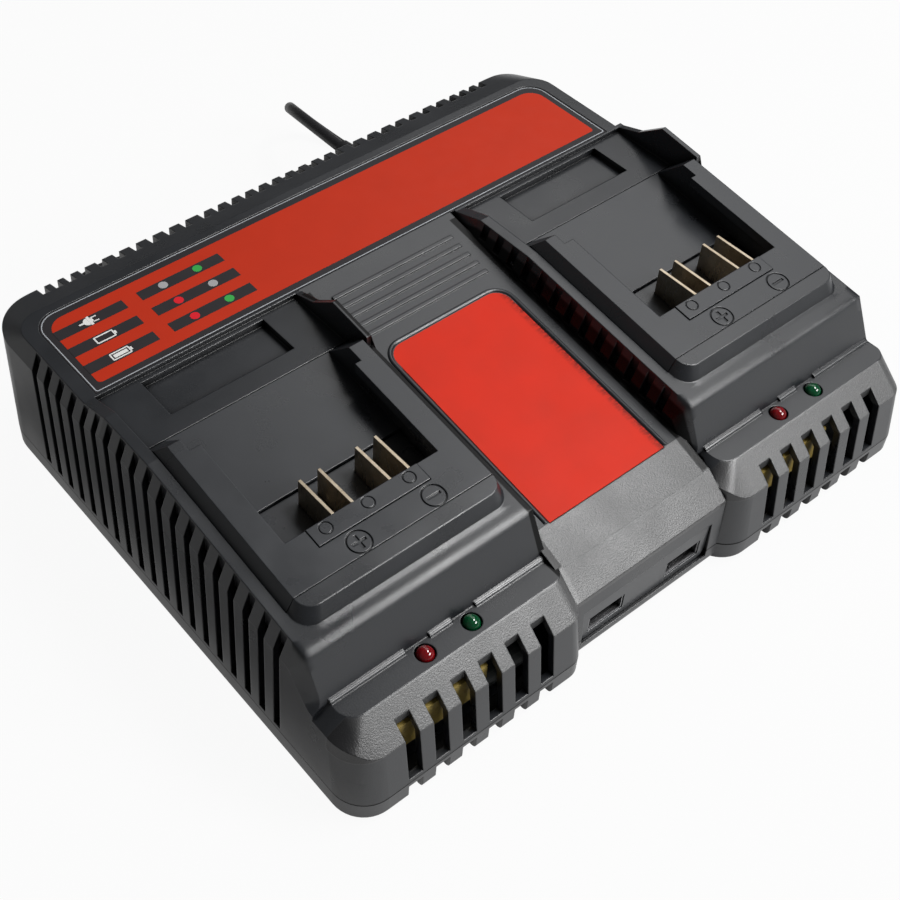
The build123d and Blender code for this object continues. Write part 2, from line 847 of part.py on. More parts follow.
post_foot = foot_height + base_floor / 2
standoffs = [upright(x, y, post_foot, main_board_height, standoff_diameter) for x, y in standoff_places]
standoffs += [upright(x, y, post_foot, usb_board_bottom, standoff_diameter) for x, y in usb_standoff_places]
bosses = [upright(x, y, foot_height, seam_height, boss_diameter) for x, y in screw_places]
base_cuts = [upright(x, y, foot_height, foot_height + foot_sink, foot_diameter + 2 * foot_gap)
             for x, y in foot_places.values()]
base_cuts += [upright(x, y, 0, seam_height + 1, screw_shank + 2 * screw_gap) for x, y in screw_places]
base_cuts += [upright(x, y, 0, screw_seat, screw_well) for x, y in screw_places]
base_cuts += [upright(x, y, base_floor_top, main_board_height + 1, board_screw_shank)
              for x, y in standoff_places]
base_cuts.append(box_between(-port_opening, port_opening, port_face_y - 1, port_face_y + wall + 1,
                             port_frame_bottom - port_gap, 20))
for x in bay_centres.values():
    for place in front_slot_xs:
        base_cuts.append(box_between(x + place - front_slot_width / 2, x + place + front_slot_width / 2,
                                     front_y - 2, front_y + notch_depth, -1, notch_top))
notch_walls = []
for x in bay_centres.values():
    first, last = x + front_slot_xs[0] - front_slot_width, x + front_slot_xs[-1] + front_slot_width
    notch_walls.append(box_between(first, last, front_y + wall, front_y + notch_depth + notch_wall,
                                   post_foot, notch_top + notch_wall))
with BuildPart() as base_shell:
    for x in bay_centres.values():
        add(Pos(x, 0, 0) * base_bay.part)
    add(base_rear.part)
    add(base_mid.part)
    add(tray_hollow, mode=Mode.SUBTRACT)
    add(standoffs + bosses + notch_walls)
    add(base_cuts, mode=Mode.SUBTRACT)
save(base_shell.part, "base_shell")

# Rubber feet, each pressed into its seat
for name, (x, y) in foot_places.items():
    with BuildPart() as foot:
        add(upright(x, y, 0, foot_height + foot_sink, foot_diameter))
        chamfer(foot.edges().filter_by(GeomType.CIRCLE).sort_by(Axis.Z)[0], foot_chamfer)
    save(foot.part, f"foot_{name}")

# Housing screws, up through the base into the cover's posts
with BuildPart() as housing_screws:
    add([upright(x, y, screw_seat - screw_head_height, screw_seat, screw_head) for x, y in screw_places])
    add([upright(x, y, screw_seat - 1, seam_height + screw_length, screw_shank) for x, y in screw_places])
save(housing_screws.part, "housing_screws")

# Insert with the battery rails, made for a bay in its own X
insert_front_y = parting_y + insert_gap
insert_rear_y = block_rear_y - insert_gap
skirt_left = block_left_foot + insert_gap
skirt_right = block_right_foot - insert_gap
pocket_rear_y = insert_rear_y - insert_skin


def under_block(y):
    """Height of the insert's underside below its level top."""
    return block_top(y) - insert_skin


def under_lip(y):
    """Height of the lips' underside."""
    return block_top(y) - lip_thickness


beyond_y = block_rear_y + 8
with BuildPart() as rail_frame_form:
    loft([deck_outline(0, block_left_top, block_right_top, insert_front_y - 10, beyond_y, 1),
          deck_outline(block_sink, skirt_left, skirt_right, insert_front_y - 10, beyond_y, 1)], ruled=True)
    extrude(side_profile(skirt_left, [
        (insert_front_y - 10, skirt_bottom), (insert_front_y - 10, rim_height(insert_front_y - 10) + 0.01),
        (beyond_y, rim_height(beyond_y) + 0.01), (beyond_y, skirt_bottom)]), amount=skirt_right - skirt_left)
    extrude(side_profile(skirt_left - 10, [
        (insert_front_y, 30), (insert_front_y, 80), (block_rear_top_y, 80),
        (block_rear_top_y, block_top(block_rear_top_y)), (insert_rear_y, floor_height(insert_rear_y)),
        (insert_rear_y, 30)]), amount=body_width, mode=Mode.INTERSECT)
    # hollow under the front part, open to the well, and under the slot's floor
    extrude(side_profile(skirt_left + insert_skin, [
        (insert_front_y + insert_skin, 30),
        (insert_front_y + insert_skin, under_block(insert_front_y + insert_skin)),
        (well_front_y, under_block(well_front_y)), (well_front_y, 30)]),
        amount=skirt_right - skirt_left - 2 * insert_skin, mode=Mode.SUBTRACT)
    extrude(side_profile(groove_left, [
        (well_rear_y - 1, 30), (well_rear_y - 1, floor_height(well_rear_y - 1) - insert_skin),
        (pocket_rear_y, floor_height(pocket_rear_y) - insert_skin), (pocket_rear_y, 30)]),
        amount=groove_right - groove_left, mode=Mode.SUBTRACT)
    # the slot from wall to wall under the lips, with the well through its floor at the front
    extrude(side_profile(groove_left, [
        (well_front_y, 30), (well_front_y, under_lip(well_front_y)), (beyond_y, under_lip(beyond_y)),
        (beyond_y, floor_height(beyond_y)), (well_rear_y, floor_height(well_rear_y)), (well_rear_y, 30)]),
        amount=groove_right - groove_left, mode=Mode.SUBTRACT)
    # the mouth between the lips, wider at the rear where the battery enters
    for x0, x1, y0 in ((lip_left, lip_right, well_front_y),
                       (lip_left_wide, lip_left, back(lip_left_notch_back)),
                       (lip_right, lip_right_wide, back(lip_right_notch_back))):
        extrude(side_profile(x0, [(y0, under_lip(y0) - 1), (beyond_y, under_lip(beyond_y) - 1),
                                  (beyond_y, cut_top), (y0, cut_top)]), amount=x1 - x0, mode=Mode.SUBTRACT)
    # hole of the terminals' bar
    add(box_between(bar_left - insert_gap, bar_right + insert_gap, bar_front_y - insert_gap,
                    well_front_y + 1, 30, 80), mode=Mode.SUBTRACT)
    # plus and minus signs, each in a ring
    sign_y = on_deck(back(sign_back))
    with BuildSketch(deck.offset(-sign_depth)):
        with Locations((sign_plus_x, sign_y), (sign_minus_x, sign_y)):
            Circle(sign_radius)
            Circle(sign_radius - sign_line, mode=Mode.SUBTRACT)
            Rectangle(*sign_bar)
        with Locations((sign_plus_x, sign_y)):
            Rectangle(*reversed(sign_bar))
    extrude(amount=2 * sign_depth, mode=Mode.SUBTRACT)
    # flange under the cover's top
    for x0, x1, y0, y1 in (
        (skirt_left + 2, skirt_right - 4, insert_front_y - flange_reach, insert_front_y + 0.5),
        (skirt_left - flange_side, skirt_left + 0.5, insert_front_y + 2, back(side_flange_end_back)),
    ):
        top0, top1 = rim_height(y0) - wall_drop, rim_height(y1) - wall_drop
        extrude(side_profile(x0, [(y0, top0), (y1, top1), (y1, top1 - insert_flange),
                                  (y0, top0 - insert_flange)]), amount=x1 - x0)
rail_frame = rail_frame_form.part

# Terminal block: the bar that carries the blades, hung under the insert by two ears
with BuildPart() as terminal_form:
    extrude(side_profile(bar_left, [
        (bar_front_y, terminal_base_bottom), (bar_front_y, block_top(bar_front_y) + bar_proud),
        (well_front_y, block_top(well_front_y) + bar_proud), (well_front_y, terminal_base_bottom)]),
        amount=bar_right - bar_left)
    base_left, base_right = groove_left + terminal_gap, groove_right - terminal_gap
    base_front_y, base_rear_y = bar_front_y - ear_reach, well_rear_y - terminal_gap
    extrude(side_profile(base_left, [
        (base_front_y, terminal_base_bottom), (base_front_y, block_top(base_front_y) - terminal_base_depth),
        (base_rear_y, block_top(base_rear_y) - terminal_base_depth), (base_rear_y, terminal_base_bottom)]),
        amount=base_right - base_left)
    for x0 in (base_left, base_right - ear_width):
        extrude(side_profile(x0, [
            (base_front_y, terminal_base_bottom), (base_front_y, under_block(base_front_y)),
            (base_front_y + ear_depth, under_block(base_front_y + ear_depth)),
            (base_front_y + ear_depth, terminal_base_bottom)]), amount=ear_width)
    add([box_between(x - blade_thickness / 2 - blade_clearance, x + blade_thickness / 2 + blade_clearance,
                     well_front_y - blade_clearance, back(blade_rear_back) + blade_clearance,
                     blade_foot, block_top(well_front_y) - 1) for x in blade_positions],
        mode=Mode.SUBTRACT)
    # round marks that the mould's ejector pins leave
    with BuildSketch(deck.offset(bar_proud - bar_mark_depth)):
        with Locations(*[(x, on_deck(back(bar_mark_back))) for x in bar_mark_places]):
            Circle(bar_mark_radius)
            Circle(bar_mark_radius - bar_mark_line, mode=Mode.SUBTRACT)
    extrude(amount=2 * bar_mark_depth, mode=Mode.SUBTRACT)
terminal_block = terminal_form.part

# Terminal blades
blade_outline = [(well_front_y + 0.05, blade_foot), (well_front_y + 0.05, blade_top),
                 (back(blade_rear_back), blade_top), (back(blade_rear_back), blade_foot)]
with BuildPart() as blades_form:
    for x in blade_positions:
        extrude(side_profile(x - blade_thickness / 2, blade_outline,
                             [(back(blade_rear_back), blade_top, blade_corner)]), amount=blade_thickness)

# Indicator lamp: a flanged round body with a domed top, on its board
with BuildPart() as lamp_form:
    add(upright(0, 0, lamp_flange_height, lamp_seat_height, lamp_diameter))
    add(upright(0, 0, lamp_flange_height, lamp_flange_height + lamp_rim_thickness, lamp_rim))
    with Locations((0, 0, lamp_seat_height)):
        Sphere(lamp_diameter / 2)
with BuildPart() as lamp_board_form:
    add(box_between(lamp_board_left, lamp_board_right, lamp_y - lamp_board_front, lamp_y + lamp_board_rear,
                    lamp_flange_height - board_thickness, lamp_flange_height))

# Transformer: two E halves of ferrite round a taped winding
core_bottom = main_board_height + board_thickness
with BuildPart() as core_form:
    add(box_between(-core_width / 2, core_width / 2, -core_depth / 2, core_depth / 2,
                    core_bottom, core_bottom + core_height))
    window_inner = core_leg + core_gap
    window_outer = core_width / 2 - core_leg
    for side in (-1, 1):
        low, high = sorted((side * window_inner, side * window_outer))
        add(box_between(low, high, -core_depth, core_depth, core_bottom + core_leg,
                        core_bottom + core_height - core_leg), mode=Mode.SUBTRACT)
winding_half = window_outer - core_gap
with BuildPart() as winding_form:
    add(box_between(-winding_half, winding_half, -winding_depth / 2, winding_depth / 2,
                    core_bottom + core_leg + core_gap,
                    core_bottom + core_height - core_leg - core_gap))
    fillet(winding_form.edges().filter_by(Axis.Z), winding_corner)
    add(box_between(-window_inner, window_inner, -core_depth / 2 - core_gap, core_depth / 2 + core_gap,
                    0, 60),
        mode=Mode.SUBTRACT)

# Heat sink: an upright plate with fins
sink_pitch = (sink_width - sink_fin) / (sink_fins - 1)
with BuildPart() as sink_form:
    add(box_between(-sink_width / 2, sink_width / 2, 0, sink_plate, core_bottom, core_bottom + sink_height))
    add([box_between(-sink_width / 2 + i * sink_pitch, -sink_width / 2 + i * sink_pitch + sink_fin,
                     sink_plate - 1, sink_depth, core_bottom, core_bottom + sink_height)
         for i in range(sink_fins)])

# Film capacitor: a flat box on edge behind the front slots
film_width, film_depth, film_height = film_capacitor
with BuildPart() as film_form:
    add(box_between(-film_width / 2, film_width / 2, 0, film_depth, core_bottom, core_bottom + film_height))
    fillet(film_form.edges().filter_by(Axis.Z), film_capacitor_corner)

transformer_y = back(transformer_back)
for side, x in bay_centres.items():
    save(Pos(x, 0, 0) * rail_frame, f"{side}_rail_frame")
    save(Pos(x, 0, 0) * terminal_block, f"{side}_terminal_block")
    save(Pos(x, 0, 0) * blades_form.part, f"{side}_terminals")
    save(Pos(x + lamp_red_x, lamp_y, 0) * lamp_form.part, f"{side}_red_lamp")
    save(Pos(x + lamp_green_x, lamp_y, 0) * lamp_form.part, f"{side}_green_lamp")
    save(Pos(x, 0, 0) * lamp_board_form.part, f"{side}_lamp_board")
    save(Pos(x + transformer_offset, transformer_y, 0) * core_form.part, f"{side}_transformer_core")
    save(Pos(x + transformer_offset, transformer_y, 0) * winding_form.part, f"{side}_transformer_winding")
    save(Pos(x, sink_y, 0) * sink_form.part, f"{side}_heat_sink")
    save(Pos(x + film_capacitor_x, back(film_capacitor_back), 0) * film_form.part, f"{side}_film_capacitor")

# Main board, with room for the cover's posts and the ports
main_front_y = back(main_board_front_back)
main_rear_y = back(main_board_rear_back)
with BuildPart() as main_board:
    add(box_between(-main_board_half_width, main_board_half_width, main_front_y, main_rear_y,
                    main_board_height, core_bottom))
    fillet(main_board.edges().filter_by(Axis.Z), 4)
    add([upright(x, y, 10, 20, post_diameter + 2) for x, y in screw_places], mode=Mode.SUBTRACT)
    add([upright(x, y, 10, 20, board_screw_hole) for x, y in standoff_places], mode=Mode.SUBTRACT)
    add(box_between(-port_clear_half, port_clear_half, main_front_y - 1, usb_board_rear + 2, 10, 20),
        mode=Mode.SUBTRACT)
save(main_board.part, "main_board")
with BuildPart() as board_screws:
    add([upright(x, y, core_bottom, core_bottom + board_screw_head_height, board_screw_head)
         for x, y in standoff_places])
    add([upright(x, y, core_bottom - board_screw_reach, core_bottom + 1, board_screw_shank)
         for x, y in standoff_places])
save(board_screws.part, "board_screws")
with BuildPart() as capacitors:
    add([upright(x, y, core_bottom, core_bottom + capacitor_height, capacitor_diameter)
         for x in capacitor_xs for y in map(back, capacitor_backs)])
    fillet(capacitors.edges().filter_by(GeomType.CIRCLE).group_by(Axis.Z)[-1], capacitor_edge)
save(capacitors.part, "capacitors")

# USB ports
usb_front_y = port_face_y + usb_front_sink
shell_z0 = usb_centre_height - usb_shell_height / 2
shell_z1 = usb_centre_height + usb_shell_height / 2
tongue_top = shell_z1 - usb_shell_wall - usb_tongue_drop
for side, x in (("left", -usb_spacing / 2), ("right", usb_spacing / 2)):
    with BuildPart() as socket:
        add(box_between(x - usb_shell_width / 2, x + usb_shell_width / 2, usb_front_y,
                        usb_front_y + usb_shell_depth, shell_z0, shell_z1))
        add(box_between(x - usb_shell_width / 2 + usb_shell_wall, x + usb_shell_width / 2 - usb_shell_wall,
                        usb_front_y - 1, usb_front_y + usb_shell_depth - usb_shell_wall,
                        shell_z0 + usb_shell_wall, shell_z1 - usb_shell_wall), mode=Mode.SUBTRACT)
    save(socket.part, f"{side}_usb_socket")
    with BuildPart() as tongue:
        add(box_between(x - usb_tongue_width / 2, x + usb_tongue_width / 2, usb_front_y + usb_tongue_sink,
                        usb_front_y + usb_shell_depth - usb_shell_wall,
                        tongue_top - usb_tongue_thickness, tongue_top))
    save(tongue.part, f"{side}_usb_tongue")
with BuildPart() as usb_board:
    add(box_between(-usb_board_half, usb_board_half, usb_front_y + usb_tongue_sink, usb_board_rear,
                    usb_board_bottom, shell_z0))
save(usb_board.part, "usb_board")
frame_y = port_face_y + port_frame_sink
with BuildPart() as port_frame:
    with BuildSketch(Plane.XZ.offset(-frame_y)):
        with BuildLine():
            half = port_frame_half_width
            FilletPolyline((-half, port_frame_top), (-half, port_frame_bottom), (half, port_frame_bottom),
                           (half, port_frame_top), radius=port_frame_corner)
            Line((half, port_frame_top), (-half, port_frame_top))
        make_face()
    extrude(amount=-port_frame_thickness)
    front_slope = (mid_chamfer_low_back - mid_front_back) / (mid_chamfer_low_height - seam_height)
    flange_low, flange_high = seam_height + port_gap, port_flange_top
    inner_y = port_face_y + wall * hypot(1, front_slope) + port_gap * front_slope + 0.03
    extrude(side_profile(-port_frame_half_width - port_flange, [
        (inner_y, flange_low), (inner_y + (flange_high - flange_low) * front_slope, flange_high),
        (inner_y + (flange_high - flange_low) * front_slope + port_flange_thickness, flange_high),
        (inner_y + port_flange_thickness, flange_low)]), amount=2 * (port_frame_half_width + port_flange))
    add([box_between(x - usb_shell_width / 2 - 0.15, x + usb_shell_width / 2 + 0.15, frame_y - 1,
                     frame_y + port_frame_thickness + 3, shell_z0 - 0.15, shell_z1 + 0.15)
         for x in (-usb_spacing / 2, usb_spacing / 2)], mode=Mode.SUBTRACT)
save(port_frame.part, "port_frame")

# Plates
with BuildPart() as mid_label:
    extrude(mid_plate(label_sink, 0), amount=label_thickness)
save(mid_label.part, "centre_plate")
with BuildPart() as rear_label:
    extrude(rear_outline(deck_height - label_sink, rear_label_half_width, back(rear_label_front_back),
                         back(rear_label_rear_back), rear_label_corner), amount=label_thickness)
save(rear_label.part, "rear_plate")

# Cord boot: a flange inside the wall, a neck through it and a tapered sleeve that the cord enters
boot_end_y = boot_start_y + boot_length
boot_plane = Plane(origin=(cord_exit_x, boot_start_y, cord_exit_height), x_dir=(1, 0, 0), z_dir=(0, 1, 0))
with BuildPart() as boot:
    with BuildSketch(boot_plane.offset(-wall - boot_flange_thickness - boot_gap)):
        Circle(boot_flange / 2)
    extrude(amount=boot_flange_thickness)
    with BuildSketch(boot_plane.offset(-wall - 2 * boot_gap)):
        Circle(boot_diameter / 2 - boot_gap)
    extrude(amount=wall + 4 * boot_gap)
    with BuildSketch(boot_plane.offset(boot_gap)):
        Circle(boot_base_diameter / 2)
    with BuildSketch(boot_plane.offset(boot_length)):
        Circle(boot_tip_diameter / 2)
    loft(ruled=True)
    add(along_y(cord_exit_x, cord_exit_height, boot_end_y - boot_bore_depth, boot_end_y + 1, cord_diameter),
        mode=Mode.SUBTRACT)
save(boot.part, "cord_boot")


def tube(route, limit=0.45):
    """A round cord along straight runs joined by tangent arcs, each as large as its runs allow."""
    points = [Vector(*place) for place in route]
    radii = []
    for before, corner, after in zip(points, points[1:], points[2:]):
        turn = radians((corner - before).get_angle(after - corner))
        shorter = min((corner - before).length, (after - corner).length)
        radii.append(limit * shorter / tan(turn / 2))
    with BuildPart() as solid:
        with BuildLine() as path:
            FilletPolyline(*points, radius=radii)
        with BuildSketch(Plane(origin=path.wire() @ 0, z_dir=path.wire() % 0)):
            Circle(cord_diameter / 2)
        sweep()
    length = path.wire().length
    section = pi * cord_diameter ** 2 / 4
    print("tube", round(length, 1), "long, radii", [round(r, 1) for r in radii],
          "volume ratio", round(solid.part.volume / (section * length), 4))
    return solid.part, length


# Put-away cord: a hank of loops beside and on each other, drawn in at the waist
cord_rest = cord_diameter / 2
hank_x, hank_y = hank_centre
wide, narrow = hank_fold + hank_step, hank_fold
low, high = cord_rest + hank_lift, cord_rest + hank_lift + hank_layer
# each run: which side, how far out, and its heights where it starts and ends
hank_runs = [(-1, wide, low, low), (1, wide, low, low), (-1, narrow, low, low),
             (1, narrow, low, high), (-1, narrow, high, high), (1, wide, high, high)]
with BuildPart() as hank:
    with BuildLine() as hank_path:
        last = None
        for i, (side, out, z_start, z_end) in enumerate(hank_runs):
            way = side
            x0, x1 = hank_x - way * hank_run / 2, hank_x + way * hank_run / 2
            w0, w1 = hank_x - way * hank_waist / 2, hank_x + way * hank_waist / 2
            y_end, y_waist = hank_y + side * out, hank_y + side * (out - hank_draw_in)
            z_waist = (z_start + z_end) / 2
            start, finish = (x0, y_end, z_start), (x1, y_end, z_end)
            if last:
                middle_y, reach = (last[1] + y_end) / 2, abs(y_end - last[1]) / 2
                ThreePointArc(last, (x0 - way * reach, middle_y, z_start), start)
            else:
                Line((x0 - way * hank_end, y_end, z_start), start)
            for a, b in ((start, (w0, y_waist, z_waist)), ((w1, y_waist, z_waist), finish)):
                if a is not start:
                    Line((w0, y_waist, z_waist), a)
                middle = tuple((p + q) / 2 for p, q in zip(a, b))
                first_arc = TangentArc(a, middle, tangent=(way, 0, 0))
                TangentArc(middle, b, tangent=first_arc % 1)
            last = finish
        Line(last, (last[0] + hank_end, last[1], last[2]))
    with BuildSketch(Plane(origin=hank_path.wire() @ 0, z_dir=hank_path.wire() % 0)):
        Circle(cord_diameter / 2)
    sweep()
hank_length = hank_path.wire().length
hank_start, hank_finish = hank_path.wire() @ 0, hank_path.wire() @ 1
samples = [hank_path.wire() @ (i / 900) for i in range(901)]
apart = int(3 * cord_diameter / (hank_length / 900))
least = min((samples[i] - samples[j]).length for i in range(0, 901, 2) for j in range(i + apart, 901, 2))
print("hank", round(hank_length, 1), "long, least gap", round(least - cord_diameter, 2), "volume ratio",
      round(hank.part.volume / (pi * cord_diameter ** 2 / 4 * hank_length), 4), hank.part.is_valid)

turn_y = boot_end_y + cord_turn_back
run_route = [
    (cord_exit_x, boot_end_y - boot_bore_depth, cord_exit_height),
    (cord_exit_x, turn_y, cord_exit_height),
    (cord_return_x, turn_y, cord_rest),
    (cord_return_x + 2.4, turn_y - 33.0, cord_rest),
    (cord_return_x - 3.0, hank_start.Y, hank_start.Z),
    tuple(hank_start),
]
run_part, run_length = tube(run_route)
save(run_part, "cord_run")
save(hank.part, "cord_hank")
tail_route = [
    tuple(hank_finish),
    (hank_finish.X + 16.0, hank_finish.Y, hank_finish.Z),
    (plug_start[0] - 13.0, plug_start[1], plug_start[2]),
    plug_start,
]
tail_part, tail_length = tube(tail_route)
save(tail_part, "cord_tail")
print("whole cord", round(run_length + hank_length + tail_length))

# Tie round the hank's waist
tie_half = wide - hank_draw_in + cord_rest + tie_gap
with BuildPart() as tie:
    with BuildSketch(Plane.YZ.offset(hank_x - tie_width / 2)):
        with Locations((hank_y, (low + high) / 2)):
            for grow, mode in ((tie_thickness, Mode.ADD), (0, Mode.SUBTRACT)):
                corner = cord_rest + tie_gap + grow
                RectangleRounded(2 * (tie_half + grow), high - low + 2 * corner, corner, mode=mode)
    extrude(amount=tie_width)
save(tie.part, "cord_tie")

# Plug: a short sleeve, a flat body that widens to its face, and two round pins
plug_x, plug_y, plug_z = plug_start
body_x = plug_x + plug_relief
with BuildPart() as plug:
    with BuildSketch(Plane.XY):
        with BuildLine():
            shoulder_x, face_x = body_x + plug_shoulder, body_x + plug_length
            near, far = plug_y - plug_width / 2, plug_y + plug_width / 2
            Polyline((body_x, plug_y - plug_neck / 2), (shoulder_x, near), (face_x, near), (face_x, far),
                     (shoulder_x, far), (body_x, plug_y + plug_neck / 2), close=True)
        make_face()
    extrude(amount=plug_thickness)
    fillet(plug.edges().filter_by(Axis.Z), plug_corner)
    fillet(plug.faces().sort_by(Axis.Z)[-1].edges(), plug_edge)
    sleeve = Plane(origin=plug_start, x_dir=(0, 1, 0), z_dir=(1, 0, 0))
    with BuildSketch(sleeve):
        Circle(plug_sleeve_tip / 2)
    with BuildSketch(sleeve.offset(plug_relief + 1)):
        Circle(plug_sleeve_root / 2)
    loft(ruled=True)
save(plug.part, "plug_body")
with BuildPart() as pins:
    for side in (-1, 1):
        face_plane = Plane(origin=(body_x + plug_length, plug_y + side * pin_spacing / 2, plug_z),
                           x_dir=(0, 1, 0), z_dir=(1, 0, 0))
        with BuildSketch(face_plane):
            Circle(pin_diameter / 2)
        extrude(amount=pin_length)
    chamfer(pins.edges().filter_by(GeomType.CIRCLE).group_by(Axis.X)[-1], pin_chamfer)
save(pins.part, "plug_pins")
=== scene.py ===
import math

import bmesh
import bpy
from mathutils import Matrix, Vector


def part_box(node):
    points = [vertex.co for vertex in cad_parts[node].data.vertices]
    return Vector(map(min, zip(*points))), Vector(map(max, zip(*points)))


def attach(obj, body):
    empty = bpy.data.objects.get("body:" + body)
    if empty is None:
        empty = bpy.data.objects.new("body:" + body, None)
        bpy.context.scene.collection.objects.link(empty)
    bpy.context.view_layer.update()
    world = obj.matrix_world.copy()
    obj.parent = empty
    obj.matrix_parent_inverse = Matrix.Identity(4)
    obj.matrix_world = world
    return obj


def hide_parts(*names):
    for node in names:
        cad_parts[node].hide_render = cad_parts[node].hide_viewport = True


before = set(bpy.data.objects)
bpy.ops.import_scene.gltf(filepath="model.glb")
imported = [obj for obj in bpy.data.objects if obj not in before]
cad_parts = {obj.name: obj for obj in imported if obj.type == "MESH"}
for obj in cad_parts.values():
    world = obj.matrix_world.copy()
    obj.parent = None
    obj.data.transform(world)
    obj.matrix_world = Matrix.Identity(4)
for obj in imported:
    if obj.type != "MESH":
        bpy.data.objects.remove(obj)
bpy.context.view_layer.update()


# Camera: looks down on the charger's front left corner, with the whole body and the start of
# the cord in the picture. Its place, turn and lens were solved from the housing's square edges.
forward = Vector((0.42919, 0.52844, -0.73250)).normalized()
right = Vector((0.78252, -0.62255, 0.00938))
right = (right - forward * right.dot(forward)).normalized()
up = right.cross(forward)
camera_data = bpy.data.cameras.new("camera")
camera_data.sensor_width = 36.0
camera_data.lens = 58.21
camera_data.shift_x = 0.0985
camera_data.shift_y = -0.0315
camera_data.clip_start = 0.01
camera_data.clip_end = 20.0
camera = bpy.data.objects.new("camera", camera_data)
bpy.context.scene.collection.objects.link(camera)
camera.matrix_world = Matrix((
    (right.x, up.x, -forward.x, -0.2125),
    (right.y, up.y, -forward.y, -0.2191),
    (right.z, up.z, -forward.z, 0.3342),
    (0, 0, 0, 1),
))
bpy.context.scene.camera = camera


# Cord: a thin two-core mains lead in black flexible vinyl. It leaves the boot straight back,
# turns down to the table behind its own shown stretch, and the rest is folded into a hank of
# six runs in two layers, held by a woven tie, with its moulded flat two-pin plug beside it.
def tone(red, green, blue):
    """A colour as read off a swatch, in the linear numbers that shaders take."""
    return (*[((part / 255 + 0.055) / 1.055) ** 2.4 if part > 10 else part / 3294.6
              for part in (red, green, blue)], 1.0)


class Finish:
    """One procedural finish: a shader, and patterns on the piece's own coordinates."""

    def __init__(self, name, colour, roughness, metallic=0.0, gloss=0.5):
        self.material = bpy.data.materials.new(name)
        self.material.use_nodes = True
        self.nodes = self.material.node_tree.nodes
        self.links = self.material.node_tree.links
        self.shader = self.nodes["Principled BSDF"]
        self.shader.inputs["Base Color"].default_value = colour
        self.shader.inputs["Roughness"].default_value = roughness
        self.shader.inputs["Metallic"].default_value = metallic
        self.shader.inputs["Specular IOR Level"].default_value = gloss
        self.place = self.nodes.new("ShaderNodeTexCoord").outputs["Object"]
        self.normal = None

    def stretched(self, x, y, z):
        """The piece's coordinates, drawn out along the axes with a small factor."""
        mapping = self.nodes.new("ShaderNodeMapping")
        mapping.inputs["Scale"].default_value = (x, y, z)
        self.links.new(self.place, mapping.inputs["Vector"])
        return mapping.outputs["Vector"]

    def noise(self, size, detail=2.0, place=None):
        """A cloudy pattern with features of about this many millimetres."""
        node = self.nodes.new("ShaderNodeTexNoise")
        node.inputs["Scale"].default_value = 1000.0 / size
        node.inputs["Detail"].default_value = detail
        self.links.new(place or self.place, node.inputs["Vector"])
        return node.outputs["Fac"]

    def band(self, value, low, high, start=0.0, end=1.0):
        """Turns one range of a pattern into another, held level beyond both ends."""
        node = self.nodes.new("ShaderNodeMapRange")
        node.inputs["From Min"].default_value = low
        node.inputs["From Max"].default_value = high
        node.inputs["To Min"].default_value = start
        node.inputs["To Max"].default_value = end
        self.links.new(value, node.inputs["Value"])
        return node.outputs["Result"]

    def maths(self, operation, first, second=0.0):
        """One step of arithmetic on patterns or numbers."""
        node = self.nodes.new("ShaderNodeMath")
        node.operation = operation
        for slot, value in zip(node.inputs, (first, second)):
            if isinstance(value, (int, float)):
                slot.default_value = value
            else:
                self.links.new(value, slot)
        return node.outputs["Value"]

    def blend(self, factor, first, second):
        """A colour between two others, either of which may be a pattern."""
        node = self.nodes.new("ShaderNodeMix")
        node.data_type = "RGBA"
        colours = [slot for slot in node.inputs if slot.type == "RGBA"]
        self.links.new(factor, node.inputs[0])
        for slot, value in zip(colours, (first, second)):
            if isinstance(value, tuple):
                slot.default_value = value
            else:
                self.links.new(value, slot)
        return [slot for slot in node.outputs if slot.type == "RGBA"][0]

    def drive(self, slot, value):
        """Feeds a pattern into one of the shader's sockets."""
        self.links.new(value, self.shader.inputs[slot])

    def relief(self, height, strength, depth):
        """Adds surface relief, this many millimetres deep."""
        node = self.nodes.new("ShaderNodeBump")
        node.inputs["Strength"].default_value = strength
        node.inputs["Distance"].default_value = depth / 1000.0
        self.links.new(height, node.inputs["Height"])
        if self.normal is not None:
            self.links.new(self.normal, node.inputs["Normal"])
        self.normal = node.outputs["Normal"]
        self.links.new(self.normal, self.shader.inputs["Normal"])

    def softened_edges(self, radius):
        """Lets the light run round sharp moulded edges, as their small radius does."""
        node = self.nodes.new("ShaderNodeBevel")
        node.samples = 10
        if isinstance(radius, float):
            node.inputs["Radius"].default_value = radius / 1000.0
        else:
            self.links.new(radius, node.inputs["Radius"])
        self.normal = node.outputs["Normal"]
        self.links.new(self.normal, self.shader.inputs["Normal"])

    def openness(self, reach):
        """One on open faces, falling to nothing in slots and corners narrower than this reach; the
        finishes use it to paint shade there.
        """
        node = self.nodes.new("ShaderNodeAmbientOcclusion")
        node.samples = 6
        node.inputs["Distance"].default_value = reach / 1000.0
        return self.band(node.outputs["AO"], 0.35, 0.85)

    def mottle(self, size, detail, first, second):
        """Clouds the colour between two tones, with patches of about this many millimetres."""
        self.drive("Base Color", self.blend(self.noise(size, detail), first, second))

    def satin(self, pattern, smoother, duller):
        """Lets the sheen wander between two roughnesses along a pattern."""
        self.drive("Roughness", self.band(pattern, 0.3, 0.7, smoother, duller))

    def parted(self):
        """The piece's own place, across, along and up, each by itself."""
        node = self.nodes.new("ShaderNodeSeparateXYZ")
        self.links.new(self.place, node.inputs["Vector"])
        return [node.outputs[axis] for axis in "XYZ"]

    def dress(self, *names):
        """Gives these carried-over pieces this finish."""
        for name in names:
            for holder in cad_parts[name].material_slots:
                holder.material = self.material


